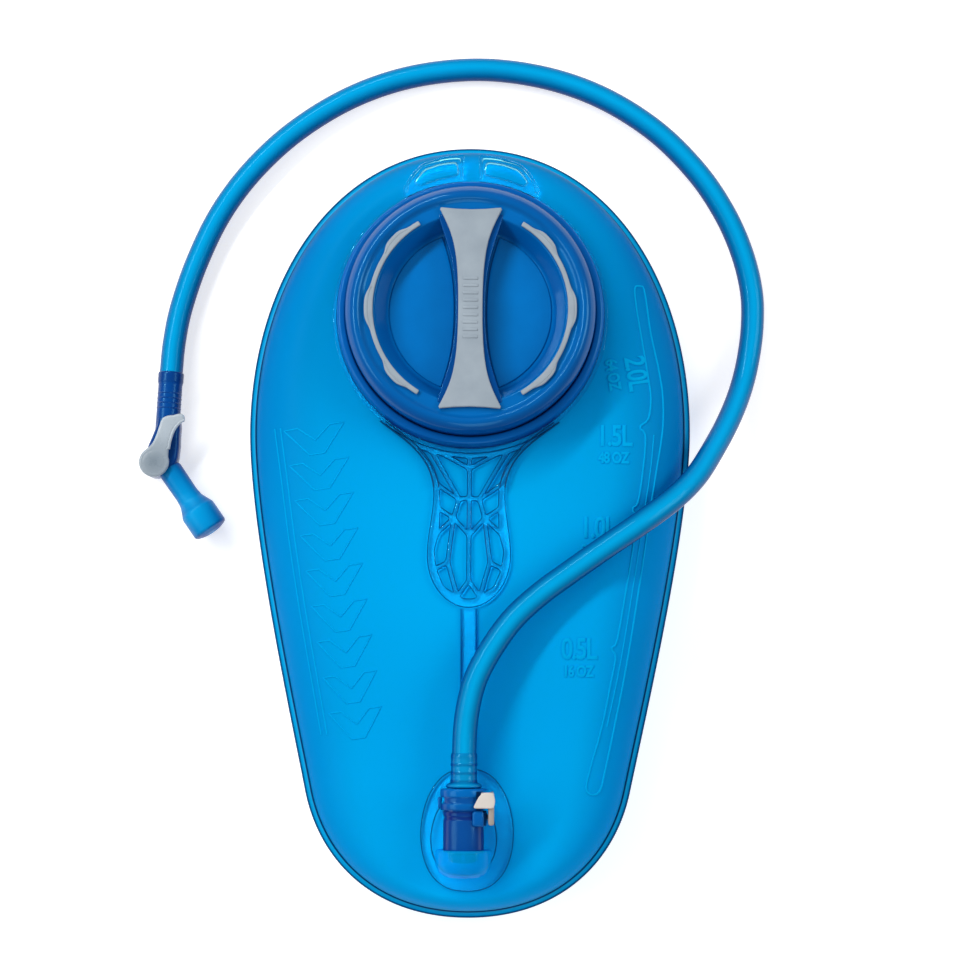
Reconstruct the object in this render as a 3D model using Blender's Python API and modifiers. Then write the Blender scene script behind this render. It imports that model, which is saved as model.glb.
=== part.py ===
"""Hydration reservoir with a screw cap, quick-link outlet, drinking hose and bite valve.

The reservoir lies on its back, full.  +Z comes out of its front face, +Y runs towards
its hanging end and the origin is at the bottom centre of the reservoir's own box.
"""
import math

import bmesh
import bpy
from mathutils import Matrix, Vector

MM = 0.001
GAP = 0.3 * MM                 # clearance between pieces that touch

# Reservoir
BAG_HALF_WIDTH = 95.9 * MM
BAG_HALF_LENGTH = 167.4 * MM
BAG_WIDEST_Y = 42.3 * MM
SEAM_Z = 21.0 * MM             # height of the weld all round
FULL_Z = 46.0 * MM             # height of the front film round the cap
LOW_Z = 40.0 * MM              # height of the front film round the outlet
FALL_START_Y = -32.0 * MM
FALL_END_Y = -104.0 * MM
FILM = 0.6 * MM
WELD = 3.2 * MM                # width of the flat weld

# Fill port and cap
CAP_Y = 88.0 * MM
COLLAR_R = 57.4 * MM
MOUTH_R = 43.7 * MM            # clear radius of the fill opening
NECK_R = 46.0 * MM
SKIRT_IN_R = 48.2 * MM
SKIRT_OUT_R = 52.3 * MM
FLOOR_TOP = 56.0 * MM
THREAD_PITCH = 6.0 * MM
THREAD_BEAD = 1.4 * MM
PLATE_Z = FULL_Z + GAP         # underside of the clear mouldings on the film
PLATE = 1.5 * MM

# Outlet and quick link
OUTLET_Y = -129.3 * MM
LINK_X = -1.4 * MM
LINK_Z = 52.0 * MM
BARREL_R = 8.5 * MM
SOCKET_TOP_Y = -111.8 * MM
BARREL_END_Y = -138.3 * MM
CHAMBER_R = 6.4 * MM
SEAT_Y = -126.0 * MM           # where the poppet seats
SPIGOT_R = 3.9 * MM
LATCH_Y = -116.6 * MM
SEAL_Y = -122.4 * MM
BUTTON_TRAVEL = 1.5 * MM
SPRING_Y = -124.0 * MM         # axis of the button's spring
CUP_Y = -137.0 * MM            # open end of the clear cup round the nose
CUP_END_Y = -148.4 * MM
DRAIN_Y = -143.6 * MM          # hole from the reservoir into the cup

# Hose and bite valve
HOSE_R = 5.1 * MM
VALVE_Z = 8.4 * MM
ROTOR_R = 4.2 * MM
LEVER_Z = 14.1 * MM            # underside of the shutoff lever
PIVOT = Vector((-138.3 * MM, 28.0 * MM, VALVE_Z))
ELBOW = Vector((-134.4 * MM, 28.5 * MM, VALVE_Z))
HOSE_END = Vector((-132.5 * MM, 67.8 * MM, VALVE_Z))
MOUTH = Vector((-113.5 * MM, -1.2 * MM, VALVE_Z))

# The hose's centre line in millimetres, from the connector to the bite valve
HOSE_ROUTE = (
    (-1.4, -98.4, 52.0), (-0.9, -86.0, 52.3), (0.8, -75.0, 53.2), (3.8, -65.0, 54.0),
    (10.2, -53.0, 54.3), (19.0, -41.0, 54.2), (30.0, -30.8, 53.4), (42.0, -21.9, 52.4),
    (56.0, -11.9, 51.9), (72.0, -0.8, 50.4), (86.5, 10.3, 44.8), (97.0, 21.0, 37.0),
    (105.5, 34.0, 27.6), (113.0, 47.5, 18.6), (119.0, 61.5, 11.0), (123.0, 76.0, 6.8),
    (125.2, 92.0, 5.4), (124.8, 108.0, 5.3), (120.4, 126.0, 5.3), (112.4, 144.0, 5.3),
    (100.0, 162.3, 5.3), (81.6, 180.6, 5.3), (58.0, 195.4, 5.3), (32.0, 204.4, 5.3),
    (3.0, 207.8, 5.3), (-27.0, 204.4, 5.3), (-54.0, 194.9, 5.3), (-78.5, 179.6, 5.3),
    (-98.0, 161.1, 5.3), (-112.3, 141.0, 5.3), (-122.4, 119.0, 5.3), (-129.0, 98.0, 5.6),
    (-131.6, 82.0, 7.2), (-132.5, 68.2, 8.4),
)


# ---------------------------------------------------------------- scene and helpers

def clear_scene():
    for obj in list(bpy.data.objects):
        bpy.data.objects.remove(obj, do_unlink=True)


def new_collection(name):
    group = bpy.data.collections.new(name)
    bpy.context.scene.collection.children.link(group)
    return group


def material(name, color, roughness, metallic=0.0):
    mat = bpy.data.materials.new(name)
    mat.use_nodes = True
    shader = mat.node_tree.nodes["Principled BSDF"]
    shader.inputs["Base Color"].default_value = (*color, 1.0)
    shader.inputs["Roughness"].default_value = roughness
    shader.inputs["Metallic"].default_value = metallic
    mat.diffuse_color = (*color, 1.0)
    return mat


def add(data, name, mat=None, smooth=True):
    """Put new mesh or curve data in the model, or among the cutters if it has no material."""
    obj = bpy.data.objects.new(name, data)
    if mat is None:
        CUTTERS.objects.link(obj)
        obj.hide_render = True
        obj.display_type = "WIRE"
    else:
        PARTS.objects.link(obj)
        data.materials.append(mat)
    if smooth and isinstance(data, bpy.types.Mesh):
        data.shade_smooth()
        data.set_sharp_from_angle(angle=math.radians(35))
    return obj


def mesh_from(name, verts, edges=(), faces=()):
    mesh = bpy.data.meshes.new(name)
    mesh.from_pydata([tuple(v) for v in verts], list(edges), list(faces))
    if faces:
        face_outwards(mesh)
    mesh.update()
    return mesh


def face_outwards(mesh):
    shape = bmesh.new()
    shape.from_mesh(mesh)
    bmesh.ops.recalc_face_normals(shape, faces=shape.faces)
    shape.to_mesh(mesh)
    shape.free()


def turned(name, profile, centre, mat=None, steps=40, closed=False, axis=(0, 0, 1)):
    """A turned piece: (radius, height) points down its outer side, spun about its axis."""
    verts = [(radius, 0.0, height) for radius, height in profile]
    edges = [(i, i + 1) for i in range(len(verts) - 1)]
    if closed:
        edges.append((len(verts) - 1, 0))
    obj = add(mesh_from(name, verts, edges), name, mat)
    obj.location = centre
    obj.rotation_euler = Vector((0, 0, 1)).rotation_difference(Vector(axis)).to_euler()
    screw = obj.modifiers.new("turn", "SCREW")
    screw.steps = steps
    screw.render_steps = steps
    screw.use_merge_vertices = True
    screw.merge_threshold = 0.00005
    screw.use_smooth_shade = True
    return obj


def ring(name, radius, wire, centre, mat, steps=32, axis=(0, 0, 1), sides=8):
    """An O-ring: a round section spun about the axis."""
    profile = []
    for i in range(sides):
        turn = -2 * math.pi * i / sides
        profile.append((radius + wire * math.cos(turn), wire * math.sin(turn)))
    return turned(name, profile, centre, mat, steps, True, axis)


def box(name, size, centre, mat=None):
    mesh = bpy.data.meshes.new(name)
    shape = bmesh.new()
    bmesh.ops.create_cube(shape, size=1.0, matrix=Matrix.Diagonal((*size, 1.0)))
    shape.to_mesh(mesh)
    shape.free()
    obj = add(mesh, name, mat, smooth=False)
    obj.location = centre
    return obj


def rod(name, radius, start, end, mat=None, steps=24):
    """A plain cylinder from one point to another."""
    start, end = Vector(start), Vector(end)
    length = (end - start).length
    profile = [(0.0, length), (radius, length), (radius, 0.0), (0.0, 0.0)]
    return turned(name, profile, start, mat, steps, False, (end - start).normalized())


def boolean(obj, other, operation):
    change = obj.modifiers.new(operation.lower() + " " + other.name, "BOOLEAN")
    change.object = other
    change.operation = operation
    change.solver = "EXACT"


def as_mesh(curve_obj):
    """Turn a curve object into a welded mesh object in the same place."""
    bpy.context.view_layer.update()
    name = curve_obj.name
    graph = bpy.context.evaluated_depsgraph_get()
    mesh = bpy.data.meshes.new_from_object(curve_obj.evaluated_get(graph))
    shape = bmesh.new()
    shape.from_mesh(mesh)
    bmesh.ops.remove_doubles(shape, verts=shape.verts, dist=0.000002)
    bmesh.ops.recalc_face_normals(shape, faces=shape.faces)
    shape.to_mesh(mesh)
    shape.free()
    place = curve_obj.matrix_world.copy()
    group = curve_obj.users_collection[0]
    bpy.data.objects.remove(curve_obj, do_unlink=True)
    obj = bpy.data.objects.new(name, mesh)
    obj.matrix_world = place
    group.objects.link(obj)
    if group is CUTTERS:
        obj.hide_render = True
        obj.display_type = "WIRE"
    return obj


def poly_wire(name, points, radius, mat=None, bevel_resolution=2, widths=None):
    """A round wire or tube with filled caps through the points."""
    curve = bpy.data.curves.new(name, "CURVE")
    curve.dimensions = "3D"
    curve.bevel_depth = radius
    curve.bevel_resolution = bevel_resolution
    curve.use_fill_caps = True
    spline = curve.splines.new("POLY")
    spline.points.add(len(points) - 1)
    for i, point in enumerate(points):
        spline.points[i].co = (*point, 1.0)
        spline.points[i].radius = widths[i] if widths else 1.0
    return add(curve, name, mat)


def plate(name, outlines, z_low, thickness, mat=None):
    """A flat plate; the first outline is its edge and the others are holes in it."""
    curve = bpy.data.curves.new(name, "CURVE")
    curve.dimensions = "2D"
    curve.fill_mode = "BOTH"
    curve.extrude = thickness / 2
    for outline in outlines:
        spline = curve.splines.new("POLY")
        spline.points.add(len(outline) - 1)
        for point, place in zip(spline.points, outline):
            point.co = (place[0], place[1], 0.0, 1.0)
        spline.use_cyclic_u = True
    obj = add(curve, name, mat)
    obj.location.z = z_low + thickness / 2
    return obj


def bezier(p0, p1, p2, p3, count):
    """Points along a cubic Bezier, without its last one."""
    points = []
    for i in range(count):
        t = i / count
        s = 1 - t
        points.append(tuple(s ** 3 * a + 3 * s * s * t * b + 3 * s * t * t * c + t ** 3 * d
                            for a, b, c, d in zip(p0, p1, p2, p3)))
    return points


def smooth_line(points, spacing):
    """Evenly spaced points along a Catmull-Rom curve through the points."""
    guide = [Vector(p) for p in points]
    guide = [2 * guide[0] - guide[1]] + guide + [2 * guide[-1] - guide[-2]]
    fine = []
    for a, b, c, d in zip(guide, guide[1:], guide[2:], guide[3:]):
        for i in range(24):
            t = i / 24
            fine.append(0.5 * (2 * b + (c - a) * t + (2 * a - 5 * b + 4 * c - d) * t * t
                               + (3 * b - a - 3 * c + d) * t ** 3))
    fine.append(guide[-2])
    length = sum((q - p).length for p, q in zip(fine, fine[1:]))
    count = round(length / spacing)
    step = length / count
    line, walked = [fine[0]], 0.0
    for p, q in zip(fine, fine[1:]):
        span = (q - p).length
        while len(line) < count and walked + span >= step * len(line):
            line.append(p.lerp(q, (step * len(line) - walked) / span))
        walked += span
    line.append(fine[-1])
    return line


def mirrored(points):
    return [(-x, y) for x, y in points]


def half_outline(top, widest, side, low, low_side, bottom, base, count):
    """The right half of a long rounded outline, from the top centre to the bottom centre."""
    return (bezier((0, top), (side[0], top), (widest[0], side[1]), widest, count)
            + bezier(widest, (widest[0], widest[1] - base), low_side, low, count)
            + bezier(low, (low[0] - 5.7 * MM, low[1] - 29 * MM), (0.59 * low[0], bottom),
                     (0, bottom), count)
            + [(0, bottom)])


def whole(half):
    """Both sides of a half outline that starts and ends on the middle line."""
    return half + [(-x, y) for x, y in reversed(half[1:-1])]


def bag_outline(count):
    low = (69.9 * MM, -113.0 * MM)
    return whole(half_outline(BAG_HALF_LENGTH, (BAG_HALF_WIDTH, BAG_WIDEST_Y),
                              (60 * MM, 109 * MM), low, (77.8 * MM, -76 * MM),
                              -BAG_HALF_LENGTH, 40 * MM, count))


def crown_outline(count):
    """Where the front film stops rising, which takes in the cap and the outlet."""
    low = (43.0 * MM, -112.0 * MM)
    return whole(half_outline(148.0 * MM, (62 * MM, 86 * MM), (38 * MM, 122 * MM), low,
                              (50 * MM, -70 * MM), -157.5 * MM, 60 * MM, count))


def inset(outline, width):
    """The outline moved inwards by a width."""
    moved = []
    for i, point in enumerate(outline):
        before, after = outline[i - 1], outline[(i + 1) % len(outline)]
        along = Vector((after[0] - before[0], after[1] - before[1])).normalized()
        moved.append((point[0] + along.y * width, point[1] - along.x * width))
    return moved


def crown_height(y):
    """The front film's height along the reservoir: level round the cap, lower at the outlet."""
    t = min(max((FALL_START_Y - y) / (FALL_START_Y - FALL_END_Y), 0.0), 1.0)
    return FULL_Z + (LOW_Z - FULL_Z) * t * t * (3 - 2 * t)


def film_rings(front):
    """Rings of points from the reservoir's edge to its middle."""
    edge = bag_outline(9)
    inner = inset(edge, WELD)
    crown = crown_outline(9)
    seam = SEAM_Z + GAP / 2 if front else SEAM_Z - GAP / 2
    seam += FILM if front else -FILM
    rings = [[(x, y, seam) for x, y in edge], [(x, y, seam) for x, y in inner]]
    for t in (0.05, 0.17, 0.38, 0.68, 1.0):
        rise = math.sqrt(1 - (1 - t) ** 2)
        row = []
        for (x0, y0), (x1, y1) in zip(inner, crown):
            x, y = x0 + (x1 - x0) * t, y0 + (y1 - y0) * t
            top = crown_height(y) if front else 0.0
            row.append((x, y, seam + (top - seam) * rise))
        rings.append(row)
    for share in (0.5,):
        rings.append([(x * share, y * (0.45 + 0.55 * share),
                       crown_height(y * (0.45 + 0.55 * share)) if front else 0.0)
                      for x, y in crown])
    return rings


def film(name, front, mat):
    """One wall of the reservoir: a lofted open surface given its thickness by Solidify."""
    rings = film_rings(front)
    count = len(rings[0])
    verts = [point for row in rings for point in row]
    faces = []
    for k in range(len(rings) - 1):
        for i in range(count):
            j = (i + 1) % count
            faces.append((k * count + i, k * count + j, (k + 1) * count + j, (k + 1) * count + i))
    last = (len(rings) - 1) * count
    half = count // 2
    for i in range(half):                       # the middle strip, from side to side
        a, b = last + i, last + i + 1
        c, d = last + (count - i - 1) % count, last + (count - i) % count
        faces.append(tuple(dict.fromkeys((a, b, c, d))))
    faces = [face for face in faces if len(face) > 2]
    mesh = mesh_from(name, verts, (), faces)
    shape = bmesh.new()
    shape.from_mesh(mesh)
    shape.faces.ensure_lookup_table()
    if (shape.faces[len(shape.faces) - half].normal.z > 0) != front:
        bmesh.ops.reverse_faces(shape, faces=shape.faces)
    shape.to_mesh(mesh)
    shape.free()
    obj = add(mesh, name, mat)
    shell = obj.modifiers.new("film thickness", "SOLIDIFY")
    shell.thickness = FILM
    shell.offset = -1.0
    return obj


def make_reservoir():
    front = film("front_film", True, M_FILM)
    fill_hole = rod("fill_hole", NECK_R + 0.7 * MM, (0, CAP_Y, 30 * MM), (0, CAP_Y, 60 * MM), steps=40)
    boolean(front, fill_hole, "DIFFERENCE")
    drain = rod("outlet_hole", 5.5 * MM, (LINK_X, DRAIN_Y, 30 * MM), (LINK_X, DRAIN_Y, 60 * MM), steps=20)
    boolean(front, drain, "DIFFERENCE")
    film("back_film", False, M_FILM)
    strip_verts = []
    rows = 10
    for i in range(rows + 1):
        y = (-36.6 - 67.0 * i / rows) * MM
        z = crown_height(y) + GAP + 0.15 * MM
        for x, lift in ((-3.4, 0.0), (3.4, 0.0), (3.4, 1.0), (-3.4, 1.0)):
            strip_verts.append((x * MM, y, z + lift * MM))
    faces = [(0, 1, 2, 3), tuple(4 * rows + k for k in (3, 2, 1, 0))]
    for i in range(rows):
        for k in range(4):
            j = (k + 1) % 4
            faces.append((4 * i + k, 4 * (i + 1) + k, 4 * (i + 1) + j, 4 * i + j))
    add(mesh_from("spine_strip", strip_verts, (), faces), "spine_strip", M_CLEAR, smooth=False)


# ---------------------------------------------------------------- fill port

def thread(name, radius, z_start, turn_start, turns, mat=None):
    """A round thread bead that tapers at both ends, as a right-hand helix about the cap's axis."""
    count = round(24 * turns)
    points, widths = [], []
    for i in range(count + 1):
        t = i / count
        angle = turn_start + 2 * math.pi * turns * t
        points.append((radius * math.cos(angle), CAP_Y + radius * math.sin(angle),
                       z_start + THREAD_PITCH * turns * t))
        widths.append(min(1.0, 0.35 + 6 * min(t, 1 - t)))
    return as_mesh(poly_wire(name, points, THREAD_BEAD, mat, 1, widths))


def truss_outline():
    """The right side of the handle's outline, from the collar down to its tip."""
    side = bezier((29.0, 40.6), (21.0, 33.0), (15.0, 26.0), (14.9, 15.0), 5)
    side += bezier((14.9, 15.0), (14.8, 3.0), (17.6, -6.0), (17.4, -15.0), 4)
    side += bezier((17.4, -15.0), (17.2, -27.0), (9.0, -36.2), (0.0, -36.2), 5)
    return [(x * MM, y * MM) for x, y in side]


def make_fill_port():
    centre = (0, CAP_Y, 0)
    flange = turned("fill_flange", [
        (56.0 * MM, PLATE_Z + PLATE), (58.6 * MM, PLATE_Z + 0.8 * MM), (58.8 * MM, PLATE_Z),
        (NECK_R + 0.4 * MM, PLATE_Z), (NECK_R + 0.4 * MM, PLATE_Z + PLATE)],
        centre, M_CLEAR, 40, True)
    loops = make_hang_loops()
    boolean(flange, loops, "UNION")

    collar = turned("fill_collar", [
        (NECK_R, 60.0 * MM), (NECK_R, 51.0 * MM), (52.9 * MM, 51.0 * MM), (52.9 * MM, 56.1 * MM),
        (53.3 * MM, 56.5 * MM), (55.0 * MM, 56.5 * MM), (55.7 * MM, 56.0 * MM),
        (COLLAR_R, 49.4 * MM), (COLLAR_R, 48.1 * MM), (NECK_R, 48.1 * MM), (NECK_R, 43.6 * MM),
        (MOUTH_R, 43.6 * MM), (MOUTH_R, 60.0 * MM)], centre, M_COLLAR, 40, True)
    boolean(collar, thread("neck_thread", 46.1 * MM, 52.6 * MM, 0.0, 1.0), "UNION")
    make_truss()


def make_hang_loops():
    """The hanging tab and its two arched loops, one plate that rises from the flange."""
    outer = [(3.1, 158.4)]
    outer += bezier((4.4, 158.2), (12.0, 157.6), (20.0, 155.6), (24.0, 151.6), 4)
    outer += bezier((24.0, 151.6), (26.4, 149.0), (28.0, 146.4), (29.6, 142.6), 3)
    outer += [(29.0, 137.0), (3.1, 142.0)]
    slot = [(5.6, 149.5), (5.9, 153.4), (7.4, 154.6), (14.0, 153.6), (20.2, 151.3), (24.4, 146.2),
            (22.6, 144.4), (15.0, 147.2), (10.0, 148.4)]
    right = [(x * MM, y * MM) for x, y in outer]
    edge = right + [(-x, y) for x, y in reversed(right)]
    hole = [(x * MM, y * MM) for x, y in slot]
    loops = plate("hang_loops", [edge, hole, mirrored(hole)], PLATE_Z, PLATE)
    return as_mesh(loops)


def make_truss():
    """The ribbed tongue below the collar: a frame with open cells between its ribs."""
    right = truss_outline()
    edge = right + [(0.0, -36.2 * MM)] + [(-x, y) for x, y in reversed(right)]
    top = []
    for i in range(7):                          # the top edge follows the collar's flange
        x = (-27.0 + 9.0 * i) * MM
        top.append((x, CAP_Y - math.sqrt((59.4 * MM) ** 2 - x * x)))
    edge = [p for p in edge if p[1] < top[0][1] - 0.5 * MM] + top
    cells = [
        [(2.0, 26.8), (10.0, 26.0), (5.2, 18.0), (2.0, 13.5)],
        [(12.5, 19.0), (12.4, 9.2), (7.9, 5.4), (6.6, 8.6)],
        [(1.6, 8.6), (4.1, 8.0), (5.2, 1.8), (1.6, -2.8)],
        [(12.6, 3.8), (12.9, -3.6), (8.8, -0.6), (8.9, 1.2)],
        [(1.6, -7.6), (6.0, -3.2), (7.2, -16.8), (5.0, -28.4), (1.6, -22.6)],
        [(8.4, -3.6), (13.6, -7.2), (14.8, -15.2), (14.2, -18.6), (10.2, -15.6)],
        [(9.9, -18.6), (13.0, -20.6), (10.6, -26.4), (7.6, -29.4)],
    ]
    holes = []
    for cell in cells:
        hole = [(x * MM, y * MM) for x, y in cell]
        holes.append(hole)
        holes.append(mirrored(hole))
    as_mesh(plate("truss_handle", [edge] + holes, PLATE_Z, 2.0 * MM, M_CLEAR))


# ---------------------------------------------------------------- cap

def crown_arc(count):
    """The rounded top of the cap's outer ring, from its inner shoulder to its skirt."""
    points = []
    for i in range(count + 1):
        angle = math.pi * (1 - i / count)
        points.append(((49.2 + 3.0 * math.cos(angle)) * MM, (65.4 + 2.6 * math.sin(angle)) * MM))
    return points


def grip_outline(end_half, waist_half, length_half, count):
    """An hourglass about the cap's axis, with slightly hollow ends."""
    quarter = bezier((waist_half, 0.0), (waist_half, 0.5 * length_half),
                     (0.72 * end_half, 0.66 * length_half), (end_half, 0.98 * length_half), count)
    quarter.append((end_half - 0.4 * MM, length_half))
    right = [(x, -y) for x, y in reversed(quarter[1:])] + quarter
    full = right + [(0.0, length_half - 0.5 * MM)] + mirrored(reversed(right))
    full.append((0.0, 0.5 * MM - length_half))
    return [(x, CAP_Y + y) for x, y in full]


def arc_outline(side):
    """A curved grip strip with three bumps on its outer edge."""
    inner, outer = [], []
    steps = 30
    for i in range(steps + 1):
        angle = math.radians(-57 + 114 * i / steps)
        bump = sum(math.exp(-((math.degrees(angle) - place) / width) ** 4)
                   for place, width in ((-43, 9), (0, 10.5), (43, 9)))
        inner.append((side * 40.9 * MM * math.cos(angle), CAP_Y + 40.9 * MM * math.sin(angle)))
        radius = (42.9 + 1.6 * bump) * MM
        outer.append((side * radius * math.cos(angle), CAP_Y + radius * math.sin(angle)))
    return inner + outer[::-1]


def make_cap():
    centre = (0, CAP_Y, 0)
    shell = turned("cap_shell", [
        (0.0, FLOOR_TOP), (34.4 * MM, FLOOR_TOP), (35.6 * MM, FLOOR_TOP + 0.8 * MM),
        (40.0 * MM, 65.6 * MM), (40.4 * MM, 66.0 * MM), (45.6 * MM, 66.0 * MM),
        *crown_arc(6), (SKIRT_OUT_R, 64.4 * MM), (SKIRT_OUT_R, 53.4 * MM),
        (SKIRT_OUT_R - 0.6 * MM, 52.4 * MM), (SKIRT_IN_R, 52.4 * MM), (SKIRT_IN_R, 62.2 * MM),
        (42.8 * MM, 62.2 * MM),
        (40.6 * MM, 60.6 * MM), (37.0 * MM, FLOOR_TOP - 2.0 * MM), (0.0, FLOOR_TOP - 2.0 * MM)],
        centre, M_CAP, 40)
    bridge = as_mesh(plate("bridge_web", [grip_outline(13.6 * MM, 6.2 * MM, 39.8 * MM, 5)],
                           FLOOR_TOP - 1.0 * MM, 11.0 * MM))
    boolean(shell, bridge, "UNION")
    boolean(shell, thread("skirt_thread", 48.2 * MM, 54.0 * MM, math.radians(-96), 0.94), "UNION")

    # The grip sits on the web and reaches out over the ring, so its ends are cut round it.
    as_mesh(plate("cap_grip", [grip_outline(13.0 * MM, 5.1 * MM, 42.6 * MM, 7)],
                  66.0 * MM + GAP, 1.7 * MM, M_GRIP))
    for name, side in (("cap_arc_left", -1), ("cap_arc_right", 1)):
        as_mesh(plate(name, [arc_outline(side)], 66.0 * MM + GAP, 1.3 * MM, M_GRIP))

    turned("cap_gasket", [
        (47.1 * MM, 61.7 * MM), (47.5 * MM, 61.0 * MM), (47.1 * MM, 60.4 * MM),
        (44.5 * MM, 60.4 * MM), (44.1 * MM, 61.0 * MM), (44.5 * MM, 61.7 * MM)],
        centre, M_SEAL, 36, True)


# ---------------------------------------------------------------- outlet and quick link

def oval(half_width, half_length, lean, count=32):
    """An egg-shaped outline about the outlet, wider towards the bottom."""
    points = []
    for i in range(count):
        turn = 2 * math.pi * i / count
        wide = half_width * (1 - lean * math.sin(turn))
        points.append((wide * math.copysign(abs(math.cos(turn)) ** 0.9, math.cos(turn)),
                       OUTLET_Y + half_length * math.sin(turn)))
    return points


def link(y, x=0.0, z=0.0):
    """A point given from the quick link's axis."""
    return Vector((LINK_X + x, y, LINK_Z + z))


def make_outlet():
    plate_z = LOW_Z + GAP + 0.1 * MM
    flange = as_mesh(plate("outlet_flange", [oval(19.4 * MM, 25.3 * MM, 0.06)], plate_z, PLATE, M_CLEAR))
    cup_r, wall = 11.6 * MM, 1.4 * MM
    cup = turned("outlet_cup", [
        (cup_r - wall, CUP_Y), (cup_r, CUP_Y), (cup_r, CUP_END_Y + 5 * MM),
        (cup_r - 1.5 * MM, CUP_END_Y + 1.8 * MM), (cup_r - 4.6 * MM, CUP_END_Y), (0.0, CUP_END_Y),
        (0.0, CUP_END_Y + wall), (cup_r - 5.2 * MM, CUP_END_Y + wall),
        (cup_r - wall - 1.2 * MM, CUP_END_Y + 2.6 * MM), (cup_r - wall, CUP_END_Y + 5.4 * MM)],
        (LINK_X, 0, LINK_Z), None, 28, True, (0, 1, 0))
    boolean(flange, cup, "UNION")
    # The film side is cut level, and the water's way into the cup is drilled through the plate.
    under = box("under_plate", (60 * MM, 80 * MM, 12 * MM), (0, OUTLET_Y, plate_z - 6 * MM))
    boolean(flange, under, "DIFFERENCE")
    drain = rod("plate_hole", 3.0 * MM, (LINK_X, DRAIN_Y, plate_z - 5 * MM),
                (LINK_X, DRAIN_Y, LINK_Z - 4 * MM), steps=16)
    boolean(flange, drain, "DIFFERENCE")


def make_socket():
    centre, along = (LINK_X, 0, LINK_Z), (0, 1, 0)
    bore = SPIGOT_R + 0.4 * MM
    housing = turned("socket_housing", [
        (9.2 * MM, SOCKET_TOP_Y), (9.8 * MM, SOCKET_TOP_Y - 0.6 * MM), (9.8 * MM, -120.6 * MM),
        (BARREL_R, -121.4 * MM), (BARREL_R, BARREL_END_Y + 0.6 * MM),
        (BARREL_R - 0.8 * MM, BARREL_END_Y), (CHAMBER_R, BARREL_END_Y), (CHAMBER_R, SEAT_Y),
        (bore, SEAT_Y), (bore, SOCKET_TOP_Y)], centre, M_DARK, 28, True, along)
    guide = box("button_guide", (5.4 * MM, 6.0 * MM, 7.0 * MM), link(SPRING_Y, 6.9 * MM, -2.9 * MM))
    boolean(housing, guide, "UNION")
    chamber = rod("poppet_way", CHAMBER_R, link(SEAT_Y), link(BARREL_END_Y - 1 * MM), steps=28)
    pocket = rod("spring_pocket", 1.9 * MM, link(SPRING_Y, 5.4 * MM, -2.5 * MM),
                 link(SPRING_Y, 16.0 * MM, -2.5 * MM), steps=14)
    slot = box("latch_slot", (26 * MM, 2.6 * MM, 11.2 * MM), link(LATCH_Y, 0.5 * MM, -0.6 * MM))
    notch = box("button_notch", (14 * MM, 9.0 * MM, 6.0 * MM), link(-117.1 * MM, 9.1 * MM, 8.1 * MM))
    leg_way = box("leg_way", (8 * MM, 9.0 * MM, 12.0 * MM), link(-117.1 * MM, 12.2 * MM, -0.1 * MM))
    for cutter in (chamber, pocket, slot, notch, leg_way):
        boolean(housing, cutter, "DIFFERENCE")

    nose = turned("socket_nose", [
        (6.1 * MM, BARREL_END_Y + 2.4 * MM), (6.1 * MM, BARREL_END_Y - GAP),
        (6.4 * MM, BARREL_END_Y - GAP), (6.0 * MM, -141.4 * MM), (4.8 * MM, -142.3 * MM),
        (2.6 * MM, -142.3 * MM), (2.6 * MM, BARREL_END_Y + 2.4 * MM)], centre, M_DARK, 24, True, along)
    for i in range(6):
        angle = 2 * math.pi * (i + 0.5) / 6
        rib = box("nose_rib_%d" % i, (1.2 * MM, 2.4 * MM, 1.4 * MM),
                  link(-140.0 * MM, 6.0 * MM * math.cos(angle), 6.0 * MM * math.sin(angle)))
        rib.rotation_euler = (0, -angle, 0)
        boolean(nose, rib, "UNION")

    turned("poppet", [
        (0.0, -129.2 * MM), (4.2 * MM, -129.2 * MM), (5.2 * MM, -129.9 * MM), (5.2 * MM, -130.9 * MM),
        (1.8 * MM, -130.9 * MM), (1.8 * MM, -134.4 * MM), (0.0, -134.4 * MM)],
        centre, M_SEAL, 20, False, along)
    spring("poppet_spring", link(-131.5 * MM), (0, -1, 0), 4.0 * MM, 0.3 * MM, 4.0 * MM, 3)
    spring("button_spring", link(SPRING_Y, 5.9 * MM, -2.5 * MM), (1, 0, 0), 1.3 * MM, 0.28 * MM,
           4.9 * MM, 4)

    # Cream release button: a top plate over the collar with a leg down its side
    button = box("release_button", (8.6 * MM, 6.5 * MM, 4.0 * MM), link(-116.4 * MM, 8.3 * MM, 7.4 * MM),
                 M_BUTTON)
    leg = box("button_leg", (2.4 * MM, 13.6 * MM, 8.4 * MM), link(-119.9 * MM, 11.4 * MM, 5.2 * MM))
    foot = box("button_foot", (1.0 * MM, 13.6 * MM, 10.0 * MM), link(-119.9 * MM, 12.1 * MM, 0.6 * MM))
    boolean(button, leg, "UNION")
    boolean(button, foot, "UNION")

    # Latch plate with the hole that the hose connector passes through
    latch = box("latch_plate", (17.2 * MM, 1.8 * MM, 10.0 * MM), link(LATCH_Y, 1.4 * MM, -0.7 * MM), M_STEEL)
    way = rod("latch_hole", SPIGOT_R + 0.35 * MM, link(LATCH_Y - 5 * MM), link(LATCH_Y + 5 * MM), steps=24)
    slide = rod("latch_slide", SPIGOT_R + 0.35 * MM, link(LATCH_Y - 5 * MM, BUTTON_TRAVEL),
                link(LATCH_Y + 5 * MM, BUTTON_TRAVEL), steps=24)
    boolean(latch, way, "DIFFERENCE")
    boolean(latch, slide, "DIFFERENCE")


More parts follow.
